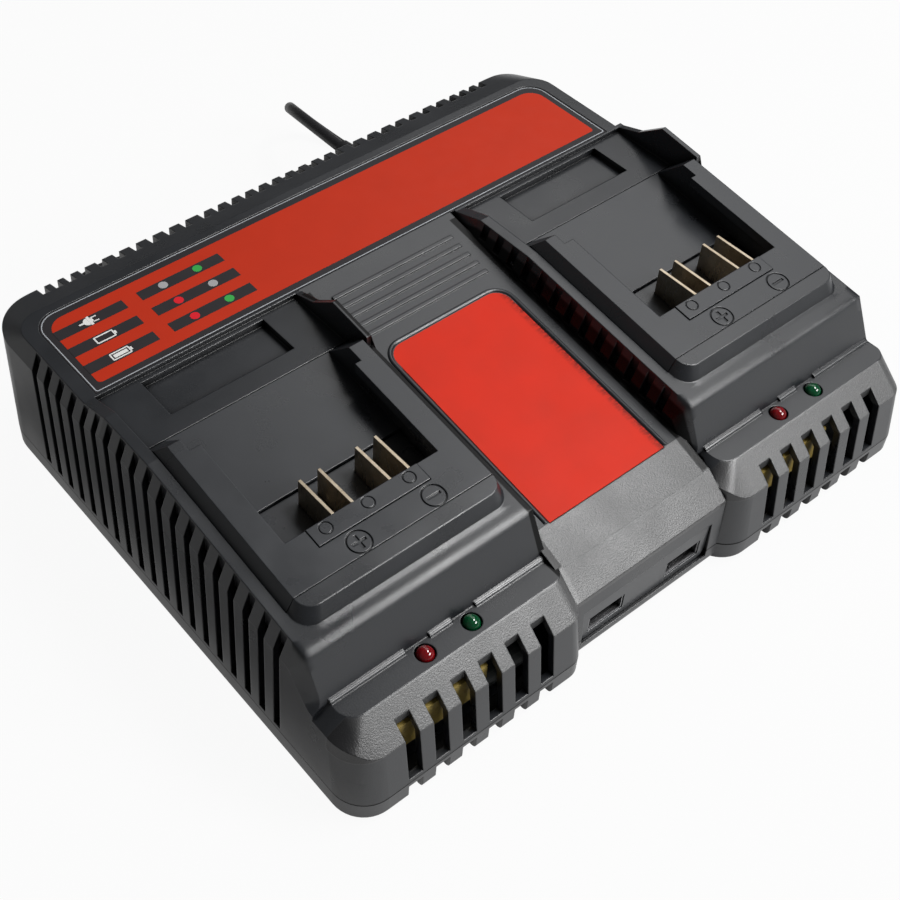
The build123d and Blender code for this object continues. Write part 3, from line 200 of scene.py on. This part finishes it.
cord_vinyl = Finish("cord_vinyl", tone(30, 30, 32), 0.42, gloss=0.4)
cord_vinyl.mottle(9.0, 3.0, tone(24, 24, 26), tone(36, 36, 38))
cord_vinyl.satin(cord_vinyl.noise(4.0, 3.0), 0.34, 0.5)
cord_vinyl.relief(cord_vinyl.noise(0.9), 0.25, 0.12)

cord_radius = 0.0021
hank_x, hank_y = -0.008, 0.1076
half_run, half_waist, draw_in = 0.041, 0.008, 0.006
wide, narrow = 0.0176, 0.0126
low, high = 0.0034, 0.0082
bend = 0.00852
turn_corners = [math.radians(degrees) for degrees in (-67.5, -22.5, 22.5, 67.5)]
corner_reach = math.cos(turn_corners[2])
cord_points = [
    (0.045, 0.10283, 0.025),
    (0.045, 0.15203, 0.025),
    (0.06406, 0.15203, cord_radius),
    (0.06646, 0.11903, cord_radius),
    (0.06106, 0.0900, 0.0034),
]
last = None
for side, out, z_start, z_end in (
    (-1, wide, low, low), (1, wide, low, low), (-1, narrow, low, low),
    (1, narrow, low, high), (-1, narrow, high, high), (1, wide, high, high),
):
    x0, x1 = hank_x - side * half_run, hank_x + side * half_run
    w0, w1 = hank_x - side * half_waist, hank_x + side * half_waist
    y_end, y_waist = hank_y + side * out, hank_y + side * (out - draw_in)
    z_waist = (z_start + z_end) / 2
    if last is not None:
        middle = (last + y_end) / 2
        reach = abs(y_end - last) / 2
        for corner in turn_corners:
            cord_points.append((
                x0 - side * math.cos(corner) * reach / corner_reach,
                middle + side * math.sin(corner) * reach / corner_reach,
                z_start,
            ))
    cord_points += [
        (x0 + side * bend, y_end, z_start),
        (w0 - side * bend, y_waist, z_waist),
        (w1 + side * bend, y_waist, z_waist),
        (x1 - side * bend, y_end, z_end),
    ]
    last = y_end
cord_points += [
    (0.054, 0.1252, 0.0082),
    (0.071, 0.1076, 0.0060),
    (0.084, 0.1076, 0.0060),
]
cord_curve = bpy.data.curves.new("mains_cord", "CURVE")
cord_curve.dimensions = "3D"
spline = cord_curve.splines.new("NURBS")
spline.points.add(len(cord_points) - 1)
for point, place in zip(spline.points, cord_points):
    point.co = (*place, 1.0)
spline.order_u = 3
spline.use_endpoint_u = True
spline.resolution_u = 8
cord_curve.bevel_depth = cord_radius
cord_curve.bevel_resolution = 5
cord_curve.use_fill_caps = True
cord = bpy.data.objects.new("mains_cord", cord_curve)
bpy.context.scene.collection.objects.link(cord)
cord_curve.materials.append(cord_vinyl.material)
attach(cord, "root")
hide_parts("cord_run", "cord_hank", "cord_tail")

boot_vinyl = Finish("boot_vinyl", tone(32, 32, 34), 0.5, gloss=0.4)
boot_vinyl.mottle(6.0, 3.0, tone(26, 26, 28), tone(38, 38, 40))
boot_vinyl.relief(boot_vinyl.noise(0.6), 0.3, 0.1)
boot_vinyl.dress("cord_boot")

plug_vinyl = Finish("plug_vinyl", tone(34, 34, 36), 0.45, gloss=0.4)
plug_vinyl.mottle(12.0, 3.0, tone(28, 28, 30), tone(40, 40, 42))
plug_vinyl.satin(plug_vinyl.noise(5.0, 4.0), 0.36, 0.54)
plug_vinyl.relief(plug_vinyl.noise(0.5), 0.25, 0.1)
plug_vinyl.dress("plug_body")

pin_nickel = Finish("pin_nickel", tone(214, 206, 190), 0.28, metallic=1.0)
pin_nickel.satin(pin_nickel.noise(0.25, 2.0, pin_nickel.stretched(0.05, 1, 1)), 0.2, 0.42)
pin_nickel.dress("plug_pins")

tie_weave = Finish("tie_weave", tone(36, 36, 38), 0.85, gloss=0.2)
weave = tie_weave.nodes.new("ShaderNodeTexChecker")
weave.inputs["Scale"].default_value = 1400.0
tie_weave.links.new(tie_weave.place, weave.inputs["Vector"])
tie_weave.drive("Base Color", tie_weave.blend(
    weave.outputs["Fac"], tone(28, 28, 30), tone(46, 46, 48)))
tie_weave.relief(weave.outputs["Fac"], 0.4, 0.25)
tie_weave.dress("cord_tie")


# Ground and light: a sheet of white paper that keeps the charger's faint shadow, with a painted
# shadow beside the left wall that shows only in reflections, and soft boxes overhead, in front and
# behind, all on the right, as for a small product on a table.
bpy.ops.object.select_all(action="DESELECT")
bpy.ops.mesh.primitive_plane_add(size=30.0, location=(0, 0, 0))
floor = bpy.context.object
floor.name = "floor"
paper_white, paper_seen = 0.94, 0.50
painted_shadow_edge, painted_shadow_fade, painted_shadow_dark, paper_mirrored = -0.118, 0.014, 0.04, 0.5
paper = Finish("white_paper", (paper_seen, paper_seen, paper_seen, 1), 0.9, gloss=0.0)
paper.relief(paper.noise(3.0, 3.0), 0.02, 0.05)
glow = paper.nodes.new("ShaderNodeEmission")
glow.inputs["Color"].default_value = (1, 1, 1, 1)
glow.inputs["Strength"].default_value = 1.0
either = paper.nodes.new("ShaderNodeMixShader")
seen = paper.nodes.new("ShaderNodeLightPath")
in_mirrors = paper.maths("MAXIMUM", seen.outputs["Is Glossy Ray"],
                         seen.outputs["Is Transmission Ray"])
# Painted shadow: beyond this edge the paper is nearly black in reflections. It stands for the
# charger's shadow beside its left wall.
mirrored_painted_shadow = paper.band(paper.parted()[0], painted_shadow_edge, painted_shadow_edge + painted_shadow_fade,
                        painted_shadow_dark, paper_mirrored)
in_picture = paper.maths("MULTIPLY", seen.outputs["Is Camera Ray"], paper_white)
in_mirrors = paper.maths("MULTIPLY", in_mirrors, mirrored_painted_shadow)
paper.links.new(paper.maths("MAXIMUM", in_picture, in_mirrors), either.inputs["Fac"])
paper.links.new(paper.shader.outputs["BSDF"], either.inputs[1])
paper.links.new(glow.outputs["Emission"], either.inputs[2])
paper.links.new(either.outputs["Shader"], paper.nodes["Material Output"].inputs["Surface"])
floor.data.materials.append(paper.material)

world = bpy.data.worlds.new("studio")
bpy.context.scene.world = world
world.use_nodes = True
world.node_tree.nodes["Background"].inputs["Color"].default_value = (1, 1, 1, 1)
world.node_tree.nodes["Background"].inputs["Strength"].default_value = 0.12


def softbox(name, place, target, size, power):
    """A rectangular lamp behind a diffuser, turned to its target."""
    lamp = bpy.data.lights.new(name, "AREA")
    lamp.shape = "RECTANGLE"
    lamp.size, lamp.size_y = size
    lamp.energy = power
    holder = bpy.data.objects.new(name, lamp)
    bpy.context.scene.collection.objects.link(holder)
    holder.location = place
    holder.rotation_euler = (Vector(target) - Vector(place)).to_track_quat("-Z", "Y").to_euler()


charger_middle = (0, 0, 0.04)
softbox("lamp_top", (0.42, -0.22, 0.92), charger_middle, (0.36, 0.30), 6.2)
softbox("lamp_front", (0.50, -0.80, 0.66), charger_middle, (0.55, 0.3), 8.8)
softbox("lamp_back", (0.65, 0.37, 0.89), charger_middle, (0.7, 0.6), 2.0)

bpy.context.scene.view_settings.view_transform = "Standard"


# Housing: cover and base are injection moulded in dark grey plastic with a fine satin grain and a
# small radius along every edge, and screwed together from below, with a thin seam between. The
# front chamfers and the middle's slopes are spark-eroded to sparkle, and their lighter tone is
# painted light from the front lamp. The flanks are not sparkled, and they and the chamfers' left
# corners are painted nearly black as painted shade.
seam_height, seam_line, seam_fade = 0.008, 0.00022, 0.0003
chamfer_foot, chamfer_top, chamfer_rear = 0.0246, 0.0327, -0.0745
middle_foot, middle_half, middle_rear = 0.0256, 0.0264, -0.0632
flank_foot, flank_head, flank_rear = 0.0268, 0.0296, 0.034
bay_middle, corner_start, corner_end = 0.066, -0.0275, -0.0335
brow_front, brow_rear, brow_foot, brow_fade = -0.0662, -0.0580, 0.0425, 0.0008
bead_front, bead_rear, bead_head = -0.0702, -0.0666, 0.0340
edge_radius, brow_radius, bead_extra = 0.00045, 0.0032, 0.00012
before_all, beyond_all, above_all = -0.1, 0.2, 0.1
housing_gloss, shade_and_seam_gloss = 0.75, 0.1
housing_plastic = Finish("housing_plastic", tone(44, 46, 49), 0.3, gloss=housing_gloss)
across, along, upward = housing_plastic.parted()
beside = housing_plastic.maths("ABSOLUTE", across)


def times(first, second):
    """Where two areas overlap, or one area at a share of its strength."""
    return housing_plastic.maths("MULTIPLY", first, second)


def within(value, low, high, fade=0.0003):
    """One between two places on the housing, with a short fade at each."""
    return times(housing_plastic.band(value, low - fade, low),
                 housing_plastic.band(value, high + fade, high))


def strongest(*areas):
    """The strongest of several areas at each place."""
    result = areas[0]
    for area in areas[1:]:
        result = housing_plastic.maths("MAXIMUM", result, area)
    return result


in_bay = housing_plastic.maths(
    "SUBTRACT", across, times(housing_plastic.maths("SIGN", across), bay_middle))
outside_middle = within(beside, flank_foot, beyond_all)
on_chamfer = times(within(upward, chamfer_foot, chamfer_top - 0.0003),
                   within(along, before_all, chamfer_rear))
on_middle = times(times(within(upward, middle_foot, above_all), within(beside, -0.01, middle_half)),
                  within(along, before_all, middle_rear))
sparkled = strongest(on_chamfer, on_middle)
painted_shade_left_corner = times(times(on_chamfer, housing_plastic.band(in_bay, corner_start, corner_end)),
                    outside_middle)
painted_shade_flank = times(times(within(beside, flank_foot, flank_head), within(along, before_all, flank_rear)),
              within(upward, chamfer_top, above_all))
on_brow = times(times(within(along, brow_front, brow_rear, brow_fade),
                      within(upward, brow_foot, above_all, brow_fade)),
                within(beside, flank_head, beyond_all))
on_bead = times(within(along, bead_front, bead_rear), within(upward, chamfer_top, bead_head))
housing_plastic.softened_edges(housing_plastic.maths(
    "ADD", housing_plastic.band(on_brow, 0.0, 1.0, edge_radius, brow_radius),
    times(on_bead, bead_extra)))

cloud = housing_plastic.noise(16.0, 4.0)
sparks = housing_plastic.band(housing_plastic.noise(0.35, 3.0), 0.35, 0.65)
moulded = housing_plastic.blend(cloud, tone(27, 29, 32), tone(36, 38, 42))
# Painted light: the spark-eroded areas get a lighter tone for the front light that their texture
# scatters. The speckle in it is their real sparkle.
speckle_and_painted_light = housing_plastic.blend(sparks, tone(56, 57, 58), tone(76, 76, 76))
shell = housing_plastic.blend(sparkled, moulded, speckle_and_painted_light)
# Painted shade: the flanks and the left corners of the front chamfers get a nearly black tone.
shell = housing_plastic.blend(strongest(painted_shade_flank, painted_shade_left_corner), shell, tone(20, 20, 22))
from_seam = housing_plastic.maths(
    "ABSOLUTE", housing_plastic.maths("SUBTRACT", upward, seam_height))
seam = housing_plastic.band(from_seam, seam_fade, seam_line)
# Painted shade in slots and creases, found by ambient occlusion, and on the flanks: these go
# towards near-black and lose their gloss, as does the real dark seam line. The middle's slopes go a
# fifth of the way.
painted_crease_shade = housing_plastic.maths("SUBTRACT", 1.0, housing_plastic.openness(5.0))
seam_and_painted_shade = strongest(seam, painted_crease_shade, times(painted_shade_flank, 0.85), times(on_middle, 0.2))
housing_plastic.drive("Base Color", housing_plastic.blend(seam_and_painted_shade, shell, tone(5, 5, 5)))
housing_plastic.drive("Specular IOR Level", housing_plastic.band(
    seam_and_painted_shade, 0.0, 1.0, housing_gloss, shade_and_seam_gloss))
housing_plastic.drive("Roughness", housing_plastic.maths(
    "ADD", housing_plastic.band(cloud, 0.3, 0.7, 0.25, 0.35), times(sparkled, 0.07)))
housing_plastic.relief(housing_plastic.noise(0.45), 0.2, 0.08)
housing_plastic.relief(times(housing_plastic.noise(0.4, 3.0), sparkled), 0.45, 0.12)
housing_plastic.dress("base_shell", "top_cover")

foot_rubber = Finish("foot_rubber", tone(26, 26, 26), 0.85, gloss=0.25)
foot_rubber.mottle(3.0, 4.0, tone(20, 20, 20), tone(38, 37, 36))
foot_rubber.relief(foot_rubber.noise(0.4, 3.0), 0.4, 0.1)
foot_rubber.dress("foot_front_left", "foot_front_right", "foot_rear_left", "foot_rear_right")

screw_zinc = Finish("screw_zinc", tone(176, 178, 182), 0.36, metallic=1.0)
screw_zinc.satin(screw_zinc.noise(0.7, 3.0), 0.26, 0.5)
screw_zinc.mottle(1.6, 3.0, tone(150, 152, 156), tone(198, 200, 204))
screw_zinc.dress("housing_screws", "board_screws")


# Boards: glass-epoxy with a black solder mask over copper tracks, screwed to the base's posts;
# the main one carries everything that charges, and small ones stand behind the lamps and the
# sockets.
board_mask = Finish("board_mask", tone(18, 20, 20), 0.4)
tracks = board_mask.nodes.new("ShaderNodeTexBrick")
tracks.inputs["Scale"].default_value = 160.0
tracks.inputs["Color1"].default_value = tone(15, 17, 17)
tracks.inputs["Color2"].default_value = tone(20, 22, 22)
tracks.inputs["Mortar"].default_value = tone(34, 36, 34)
tracks.inputs["Mortar Size"].default_value = 0.02
board_mask.links.new(board_mask.place, tracks.inputs["Vector"])
board_mask.drive("Base Color", tracks.outputs["Color"])
board_mask.relief(tracks.outputs["Fac"], 0.3, 0.05)
board_mask.dress("main_board", "left_lamp_board", "right_lamp_board", "usb_board")


# Transformers: one for each bay, a pressed ferrite core with its three legs, dark and matt, and
# a winding wrapped in yellow polyester tape whose turns show as fine bands.
ferrite = Finish("ferrite", tone(48, 47, 46), 0.62)
ferrite.mottle(0.8, 4.0, tone(38, 37, 36), tone(62, 60, 58))
ferrite.relief(ferrite.noise(0.5, 3.0), 0.35, 0.1)
ferrite.dress("left_transformer_core", "right_transformer_core")

winding_tape = Finish("winding_tape", tone(206, 170, 52), 0.42)
turns = winding_tape.noise(1.2, 1.0, winding_tape.stretched(0.03, 0.03, 1))
winding_tape.drive("Base Color", winding_tape.blend(turns, tone(184, 146, 38), tone(224, 188, 70)))
winding_tape.relief(turns, 0.4, 0.12)
winding_tape.dress("left_transformer_winding", "right_transformer_winding")


# Heat sinks and capacitors: extruded aluminium sinks with their drawing lines, electrolytic
# cans in dark shrink sleeves, and flat film capacitors in a dull yellow epoxy dip that shows
# through the front slots.
sink_aluminium = Finish("sink_aluminium", tone(188, 190, 194), 0.4, metallic=1.0)
drawn = sink_aluminium.noise(0.4, 2.0, sink_aluminium.stretched(1, 1, 0.03))
sink_aluminium.satin(drawn, 0.3, 0.52)
sink_aluminium.relief(drawn, 0.2, 0.04)
sink_aluminium.dress("left_heat_sink", "right_heat_sink")

can_sleeve = Finish("can_sleeve", tone(24, 26, 34), 0.28)
can_sleeve.mottle(8.0, 2.0, tone(20, 22, 30), tone(32, 34, 44))
can_sleeve.relief(can_sleeve.noise(2.5, 1.0), 0.1, 0.1)
can_sleeve.dress("capacitors")

dipped_epoxy = Finish("dipped_epoxy", tone(150, 132, 62), 0.4)
dipped_epoxy.mottle(2.4, 3.0, tone(118, 100, 44), tone(156, 136, 72))
dipped_epoxy.relief(dipped_epoxy.noise(1.4, 2.0), 0.3, 0.15)
dipped_epoxy.dress("left_film_capacitor", "right_film_capacitor")


# Rail frames and terminal blocks: separate mouldings in the same dark plastic with a smoother
# surface, dropped into each bay and screwed from inside. Four blades of plated copper alloy
# stand in each block.
insert_gloss = 0.65
insert_plastic = Finish("insert_plastic", tone(44, 46, 49), 0.3, gloss=insert_gloss)
insert_plastic.softened_edges(0.35)
insert_cloud = insert_plastic.noise(12.0, 4.0)
# Painted shade: the frames' and blocks' slots and corners go black and lose their gloss.
insert_unshaded = insert_plastic.openness(6.0)
insert_body = insert_plastic.blend(insert_cloud, tone(32, 34, 37), tone(42, 44, 48))
insert_plastic.drive("Base Color", insert_plastic.blend(insert_unshaded, tone(5, 5, 5), insert_body))
insert_plastic.drive("Specular IOR Level", insert_plastic.band(
    insert_unshaded, 0.0, 1.0, shade_and_seam_gloss, insert_gloss))
insert_plastic.satin(insert_cloud, 0.25, 0.35)
insert_plastic.relief(insert_plastic.noise(0.4), 0.16, 0.06)
insert_plastic.dress("left_rail_frame", "right_rail_frame",
                     "left_terminal_block", "right_terminal_block")

blade_plating = Finish("blade_plating", tone(206, 192, 168), 0.32, metallic=1.0)
blade_plating.softened_edges(0.15)
stroke = blade_plating.noise(0.3, 2.0, blade_plating.stretched(1, 1, 0.06))
blade_plating.mottle(2.6, 3.0, tone(176, 158, 132), tone(222, 210, 190))
blade_plating.satin(stroke, 0.24, 0.46)
blade_plating.relief(stroke, 0.15, 0.03)
blade_plating.dress("left_terminals", "right_terminals")


# Lamps: a clear-dyed domed lens over a diode in each bay's ledge, one red and one green, pushed up
# from inside and held by a rim; its foot, down inside the ledge's hole, is painted nearly black as
# painted shade.
hole_shade_top, dome_foot = 0.0312, 0.0318
for colour, deep, lit in (
    ("red", tone(88, 2, 8), tone(124, 8, 16)),
    ("green", tone(0, 50, 26), tone(0, 82, 44)),
):
    lens = Finish(colour + "_lens", deep, 0.07)
    # Painted shade: the lens goes nearly black below the ledge's surface, inside its hole.
    dome = lens.band(lens.parted()[2], hole_shade_top, dome_foot)
    dyed = lens.blend(lens.noise(2.2, 1.0), deep, lit)
    lens.drive("Base Color", lens.blend(dome, tone(8, 8, 8), dyed))
    lens.shader.inputs["Coat Weight"].default_value = 0.35
    lens.shader.inputs["Coat Roughness"].default_value = 0.04
    lens.shader.inputs["Subsurface Weight"].default_value = 0.25
    lens.shader.inputs["Subsurface Scale"].default_value = 0.001
    lens.relief(lens.noise(1.2, 1.0), 0.03, 0.05)
    lens.dress("left_" + colour + "_lamp", "right_" + colour + "_lamp")


# Sockets: two drawn and nickel-plated shells with a grey contact tongue in each, soldered to
# their board behind a port frame that is a smooth moulding of its own, clipped in from behind.
socket_nickel = Finish("socket_nickel", tone(196, 196, 198), 0.3, metallic=1.0)
rolled = socket_nickel.noise(0.3, 2.0, socket_nickel.stretched(0.04, 1, 1))
socket_nickel.satin(rolled, 0.2, 0.42)
# Painted shade: the shells go black inside, where they are closed in.
socket_nickel.drive("Base Color", socket_nickel.blend(
    socket_nickel.openness(4.0), tone(5, 5, 5), tone(196, 196, 198)))
socket_nickel.relief(rolled, 0.12, 0.03)
socket_nickel.dress("left_usb_socket", "right_usb_socket")

tongue_resin = Finish("tongue_resin", tone(34, 34, 36), 0.4)
tongue_resin.mottle(1.5, 3.0, tone(28, 28, 30), tone(42, 42, 44))
tongue_resin.relief(tongue_resin.noise(0.4), 0.2, 0.05)
tongue_resin.dress("left_usb_tongue", "right_usb_tongue")

port_plastic = Finish("port_plastic", tone(52, 54, 57), 0.28, gloss=0.65)
port_plastic.softened_edges(0.3)
port_plastic.mottle(10.0, 3.0, tone(40, 42, 45), tone(50, 52, 55))
port_plastic.relief(port_plastic.noise(0.5), 0.12, 0.05)
port_plastic.dress("port_frame")


# Middle plate: a bare red overlay of printed polycarbonate film, stiff, with a painted shadow in
# streaks along its right edge, glued into a shallow recess, with a low rounded bead of the cover's
# plastic round its sides and rear.
edge_shadow_start, edge_shadow_full = 0.0192, 0.0214
centre_film = Finish("centre_film", tone(208, 46, 22), 0.42, gloss=0.16)
shadow_streaks = centre_film.noise(0.7, 4.0, centre_film.stretched(0.4, 1, 1))
# Painted shadow: the film goes dark red in streaks towards its right edge, where the flank's shadow
# falls.
painted_edge_shadow = centre_film.maths(
    "MULTIPLY", centre_film.band(centre_film.parted()[0], edge_shadow_start, edge_shadow_full),
    centre_film.band(shadow_streaks, 0.4, 0.6, 0.2, 0.8))
patches = centre_film.band(centre_film.noise(14.0, 4.0), 0.35, 0.7)
worn = centre_film.blend(patches, tone(200, 38, 13), tone(191, 38, 15))
centre_film.drive("Base Color", centre_film.blend(painted_edge_shadow, worn, tone(70, 16, 10)))
centre_film.satin(centre_film.noise(9.0, 4.0), 0.38, 0.5)
centre_film.relief(centre_film.noise(1.1), 0.06, 0.05)

plate_front = Vector((0, -0.06315, 0.0365))
plate_tilt = math.radians(8.6)
plate_length, plate_half, plate_corner = 0.0691, 0.0216, 0.005
plate_sink, plate_proud = 0.0005, 0.00004
bead_out, bead_start, bead_radius, bead_sink = 0.0010, 0.0004, 0.0008, 0.0003


def laid_out(name, half, start, end, height):
    """A flat outline on the table, to be worked up and then set on the middle's slope."""
    bpy.ops.object.select_all(action="DESELECT")
    bpy.ops.mesh.primitive_plane_add(size=2.0, location=(0, 0, 0))
    piece = bpy.context.object
    piece.name = name
    for vertex in piece.data.vertices:
        vertex.co = (math.copysign(half, vertex.co.x), end if vertex.co.y > 0 else start, height)
    bpy.ops.object.mode_set(mode="EDIT")
    return piece


def pick_row(piece, at):
    """Picks the points that stand this far back."""
    bpy.ops.mesh.select_mode(type="VERT")
    shape = bmesh.from_edit_mesh(piece.data)
    for face in shape.faces:
        face.select = False
    for vertex in shape.verts:
        vertex.select = abs(vertex.co.y - at) < 1e-6
    shape.select_flush_mode()
    bmesh.update_edit_mesh(piece.data)


def set_on_slope(piece, finish):
    """Turns the finished piece to the slope, leaving its place in its mesh."""
    piece.rotation_euler = (plate_tilt, 0, 0)
    piece.location = plate_front
    bpy.ops.object.transform_apply(location=True, rotation=True, scale=True)
    bpy.ops.object.shade_smooth_by_angle(angle=math.radians(40))
    piece.data.materials.clear()
    piece.data.materials.append(finish.material)
    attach(piece, "root")


middle_plate = laid_out("middle_plate", plate_half, 0.0, plate_length, -plate_sink)
pick_row(middle_plate, plate_length)
bpy.ops.mesh.bevel(offset=plate_corner, segments=10, affect="VERTICES")
bpy.ops.mesh.select_mode(type="FACE")
bpy.ops.mesh.select_all(action="SELECT")
bpy.ops.mesh.extrude_region_move(
    TRANSFORM_OT_translate={"value": (0, 0, plate_sink + plate_proud)})
bpy.ops.mesh.select_all(action="SELECT")
bpy.ops.mesh.normals_make_consistent(inside=False)
bpy.ops.object.mode_set(mode="OBJECT")
set_on_slope(middle_plate, centre_film)
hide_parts("centre_plate")

plate_bead = laid_out("plate_bead", plate_half + bead_out, bead_start, plate_length + bead_out,
                      -bead_sink)
bpy.ops.mesh.select_all(action="SELECT")
bpy.ops.mesh.delete(type="ONLY_FACE")
pick_row(plate_bead, bead_start)
bpy.ops.mesh.select_mode(type="EDGE")
bpy.ops.mesh.delete(type="EDGE")
pick_row(plate_bead, plate_length + bead_out)
bpy.ops.mesh.bevel(offset=plate_corner + bead_out, segments=10, affect="VERTICES")
bpy.ops.object.mode_set(mode="OBJECT")
bpy.ops.object.convert(target="CURVE")
plate_bead.data.bevel_depth = bead_radius
plate_bead.data.bevel_resolution = 5
plate_bead.data.use_fill_caps = True
bpy.ops.object.convert(target="MESH")
plate_bead = bpy.context.object
set_on_slope(plate_bead, housing_plastic)


# Rear plate: a charcoal overlay on the level deck with a pale painted highlight along its edge,
# where the edge of its recess catches the light, a red field, dark bars and a small legend of
# generic signs, each a few hundredths of a millimetre of ink on what lies under it.
overlay_charcoal = Finish("overlay_charcoal", tone(44, 42, 44), 0.42, gloss=0.2)
overlay_charcoal.mottle(14.0, 4.0, tone(40, 38, 40), tone(50, 48, 50))
overlay_charcoal.satin(overlay_charcoal.noise(6.0, 4.0), 0.3, 0.44)
overlay_charcoal.relief(overlay_charcoal.noise(1.1), 0.06, 0.05)
overlay_charcoal.dress("rear_plate")


def ink(name, colour, other):
    """A flat screen-printed colour with the slight mottle and orange peel of ink on film."""
    print_ink = Finish(name, colour, 0.42, gloss=0.16)
    print_ink.mottle(11.0, 4.0, colour, other)
    print_ink.satin(print_ink.noise(5.0, 4.0), 0.38, 0.5)
    print_ink.relief(print_ink.noise(1.1), 0.06, 0.05)
    return print_ink


red_ink = ink("red_ink", tone(186, 48, 24), tone(176, 45, 22))
dark_ink = ink("dark_ink", tone(42, 40, 42), tone(50, 48, 50))
pale_ink = ink("pale_ink", tone(226, 226, 224), tone(212, 212, 210))
# Painted highlight colour for the plate's edge.
edge_highlight_ink = ink("edge_highlight_ink", tone(176, 180, 184), tone(150, 154, 158))
grey_ink = ink("grey_ink", tone(164, 164, 166), tone(150, 150, 152))
green_ink = ink("green_ink", tone(66, 168, 82), tone(54, 152, 70))
bright_red_ink = ink("bright_red_ink", tone(216, 36, 48), tone(198, 30, 42))
deck_plate_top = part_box("rear_plate")[1][2]
ink_step = 0.00004


def raised_ink(patch, print_ink):
    """Gives the flat patch that is being edited its thin layer of ink and its colour."""
    bpy.ops.mesh.extrude_region_move(TRANSFORM_OT_translate={"value": (0, 0, ink_step)})
    bpy.ops.mesh.select_all(action="SELECT")
    bpy.ops.mesh.normals_make_consistent(inside=False)
    bpy.ops.object.mode_set(mode="OBJECT")
    patch.data.materials.append(print_ink.material)
    return patch


def printed(name, box, layer, print_ink, back_corner=0.0, front_corner=0.0, line=0.0):
    """Lays down one patch of ink, box in millimetres; line leaves only its outline."""
    x0, x1, y0, y1 = (value / 1000.0 for value in box)
    bpy.ops.object.select_all(action="DESELECT")
    bpy.ops.mesh.primitive_plane_add(size=1.0, location=(
        (x0 + x1) / 2, (y0 + y1) / 2, deck_plate_top + layer * ink_step))
    patch = bpy.context.object
    patch.name = name
    patch.scale = (x1 - x0, y1 - y0, 1)
    bpy.ops.object.transform_apply(location=True, rotation=True, scale=True)
    bpy.ops.object.mode_set(mode="EDIT")
    bpy.ops.mesh.select_mode(type="VERT")
    for corner, at_back in ((back_corner, True), (front_corner, False)):
        if corner:
            outline = bmesh.from_edit_mesh(patch.data)
            edge_y = y1 if at_back else y0
            for face in outline.faces:
                face.select = False
            for vertex in outline.verts:
                vertex.select = abs(vertex.co.y - edge_y) < 1e-7
            bmesh.update_edit_mesh(patch.data)
            bpy.ops.mesh.bevel(offset=corner / 1000.0, segments=8, affect="VERTICES")
    bpy.ops.mesh.select_mode(type="FACE")
    bpy.ops.mesh.select_all(action="SELECT")
    if line:
        bpy.ops.mesh.inset(thickness=line / 1000.0)
        bpy.ops.mesh.delete(type="FACE")
        bpy.ops.mesh.select_all(action="SELECT")
    return raised_ink(patch, print_ink)


def printed_dot(name, x, y, layer, print_ink, diameter):
    """Lays down one round dot of ink, in millimetres."""
    bpy.ops.object.select_all(action="DESELECT")
    bpy.ops.mesh.primitive_circle_add(
        vertices=40, radius=diameter / 2000.0, fill_type="NGON",
        location=(x / 1000.0, y / 1000.0, deck_plate_top + layer * ink_step))
    dot = bpy.context.object
    dot.name = name
    bpy.ops.object.transform_apply(location=True, rotation=True, scale=True)
    bpy.ops.object.mode_set(mode="EDIT")
    bpy.ops.mesh.select_all(action="SELECT")
    return raised_ink(dot, print_ink)


def printed_sign(name, parts):
    """Makes one piece of several patches of the same ink."""
    bpy.ops.object.select_all(action="DESELECT")
    for part in parts:
        part.select_set(True)
    bpy.context.view_layer.objects.active = parts[0]
    if len(parts) > 1:
        bpy.ops.object.join()
    sign = bpy.context.view_layer.objects.active
    sign.name = name
    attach(sign, "root")


row_y = (62.6, 54.4, 46.1)
bar_half = 2.0
# Painted highlight: the pale outline round the plate stands for the light caught by its recess's
# edge.
printed_sign("deck_edge_painted_highlight", [
    printed("border", (-96.3, 96.3, 37.35, 71.95), 0, edge_highlight_ink, 6.6, 0.8, line=0.3)])
printed_sign("deck_red_field", [
    printed("field", (-94.0, 94.0, 39.85, 69.2), 0, red_ink, 5.5, 1.2)])
printed_sign("deck_dark_bars", [
    printed("bar", (x0, x1, y - bar_half, y + bar_half), 1, dark_ink)
    for y in row_y for x0, x1 in ((-94.05, -71.5), (-66.6, -38.1))
])
plug_y, cell_y, full_y = row_y
printed_sign("deck_plug_sign", [
    printed("plug_face", (-83.5, -82.7, plug_y - 1.9, plug_y + 1.9), 3, pale_ink),
    printed_dot("plug_head", -83.6, plug_y, 2, pale_ink, 3.1),
    printed("plug_prong", (-82.8, -80.6, plug_y + 0.75, plug_y + 1.15), 2, pale_ink),
    printed("plug_prong", (-82.8, -80.6, plug_y - 1.15, plug_y - 0.75), 2, pale_ink),
    printed("plug_lead", (-86.6, -84.6, plug_y - 0.3, plug_y + 0.3), 3, pale_ink, 0.2, 0.2),
])
printed_sign("deck_cell_sign", [
    printed("cell_case", (-86.3, -80.1, cell_y - 1.5, cell_y + 1.5), 2, pale_ink, 0.4, 0.4,
            line=0.45),
    printed("cell_cap", (-80.15, -79.5, cell_y - 0.6, cell_y + 0.6), 2, pale_ink),
])
printed_sign("deck_full_sign", [
    printed("full_case", (-86.3, -80.1, full_y - 1.5, full_y + 1.5), 2, pale_ink, 0.4, 0.4,
            line=0.45),
    printed("full_cap", (-80.15, -79.5, full_y - 0.6, full_y + 0.6), 2, pale_ink),
    printed("full_core", (-85.4, -81.0, full_y - 0.65, full_y + 0.65), 2, pale_ink),
])
dot_x = (-58.5, -46.6)
dot_inks = ((grey_ink, green_ink), (bright_red_ink, grey_ink), (bright_red_ink, green_ink))
for row, (y, inks) in enumerate(zip(row_y, dot_inks), start=1):
    for column, (x, print_ink) in enumerate(zip(dot_x, inks), start=1):
        printed_sign("deck_dot_%d_%d" % (row, column),
                     [printed_dot("dot", x, y, 2, print_ink, 2.9)])
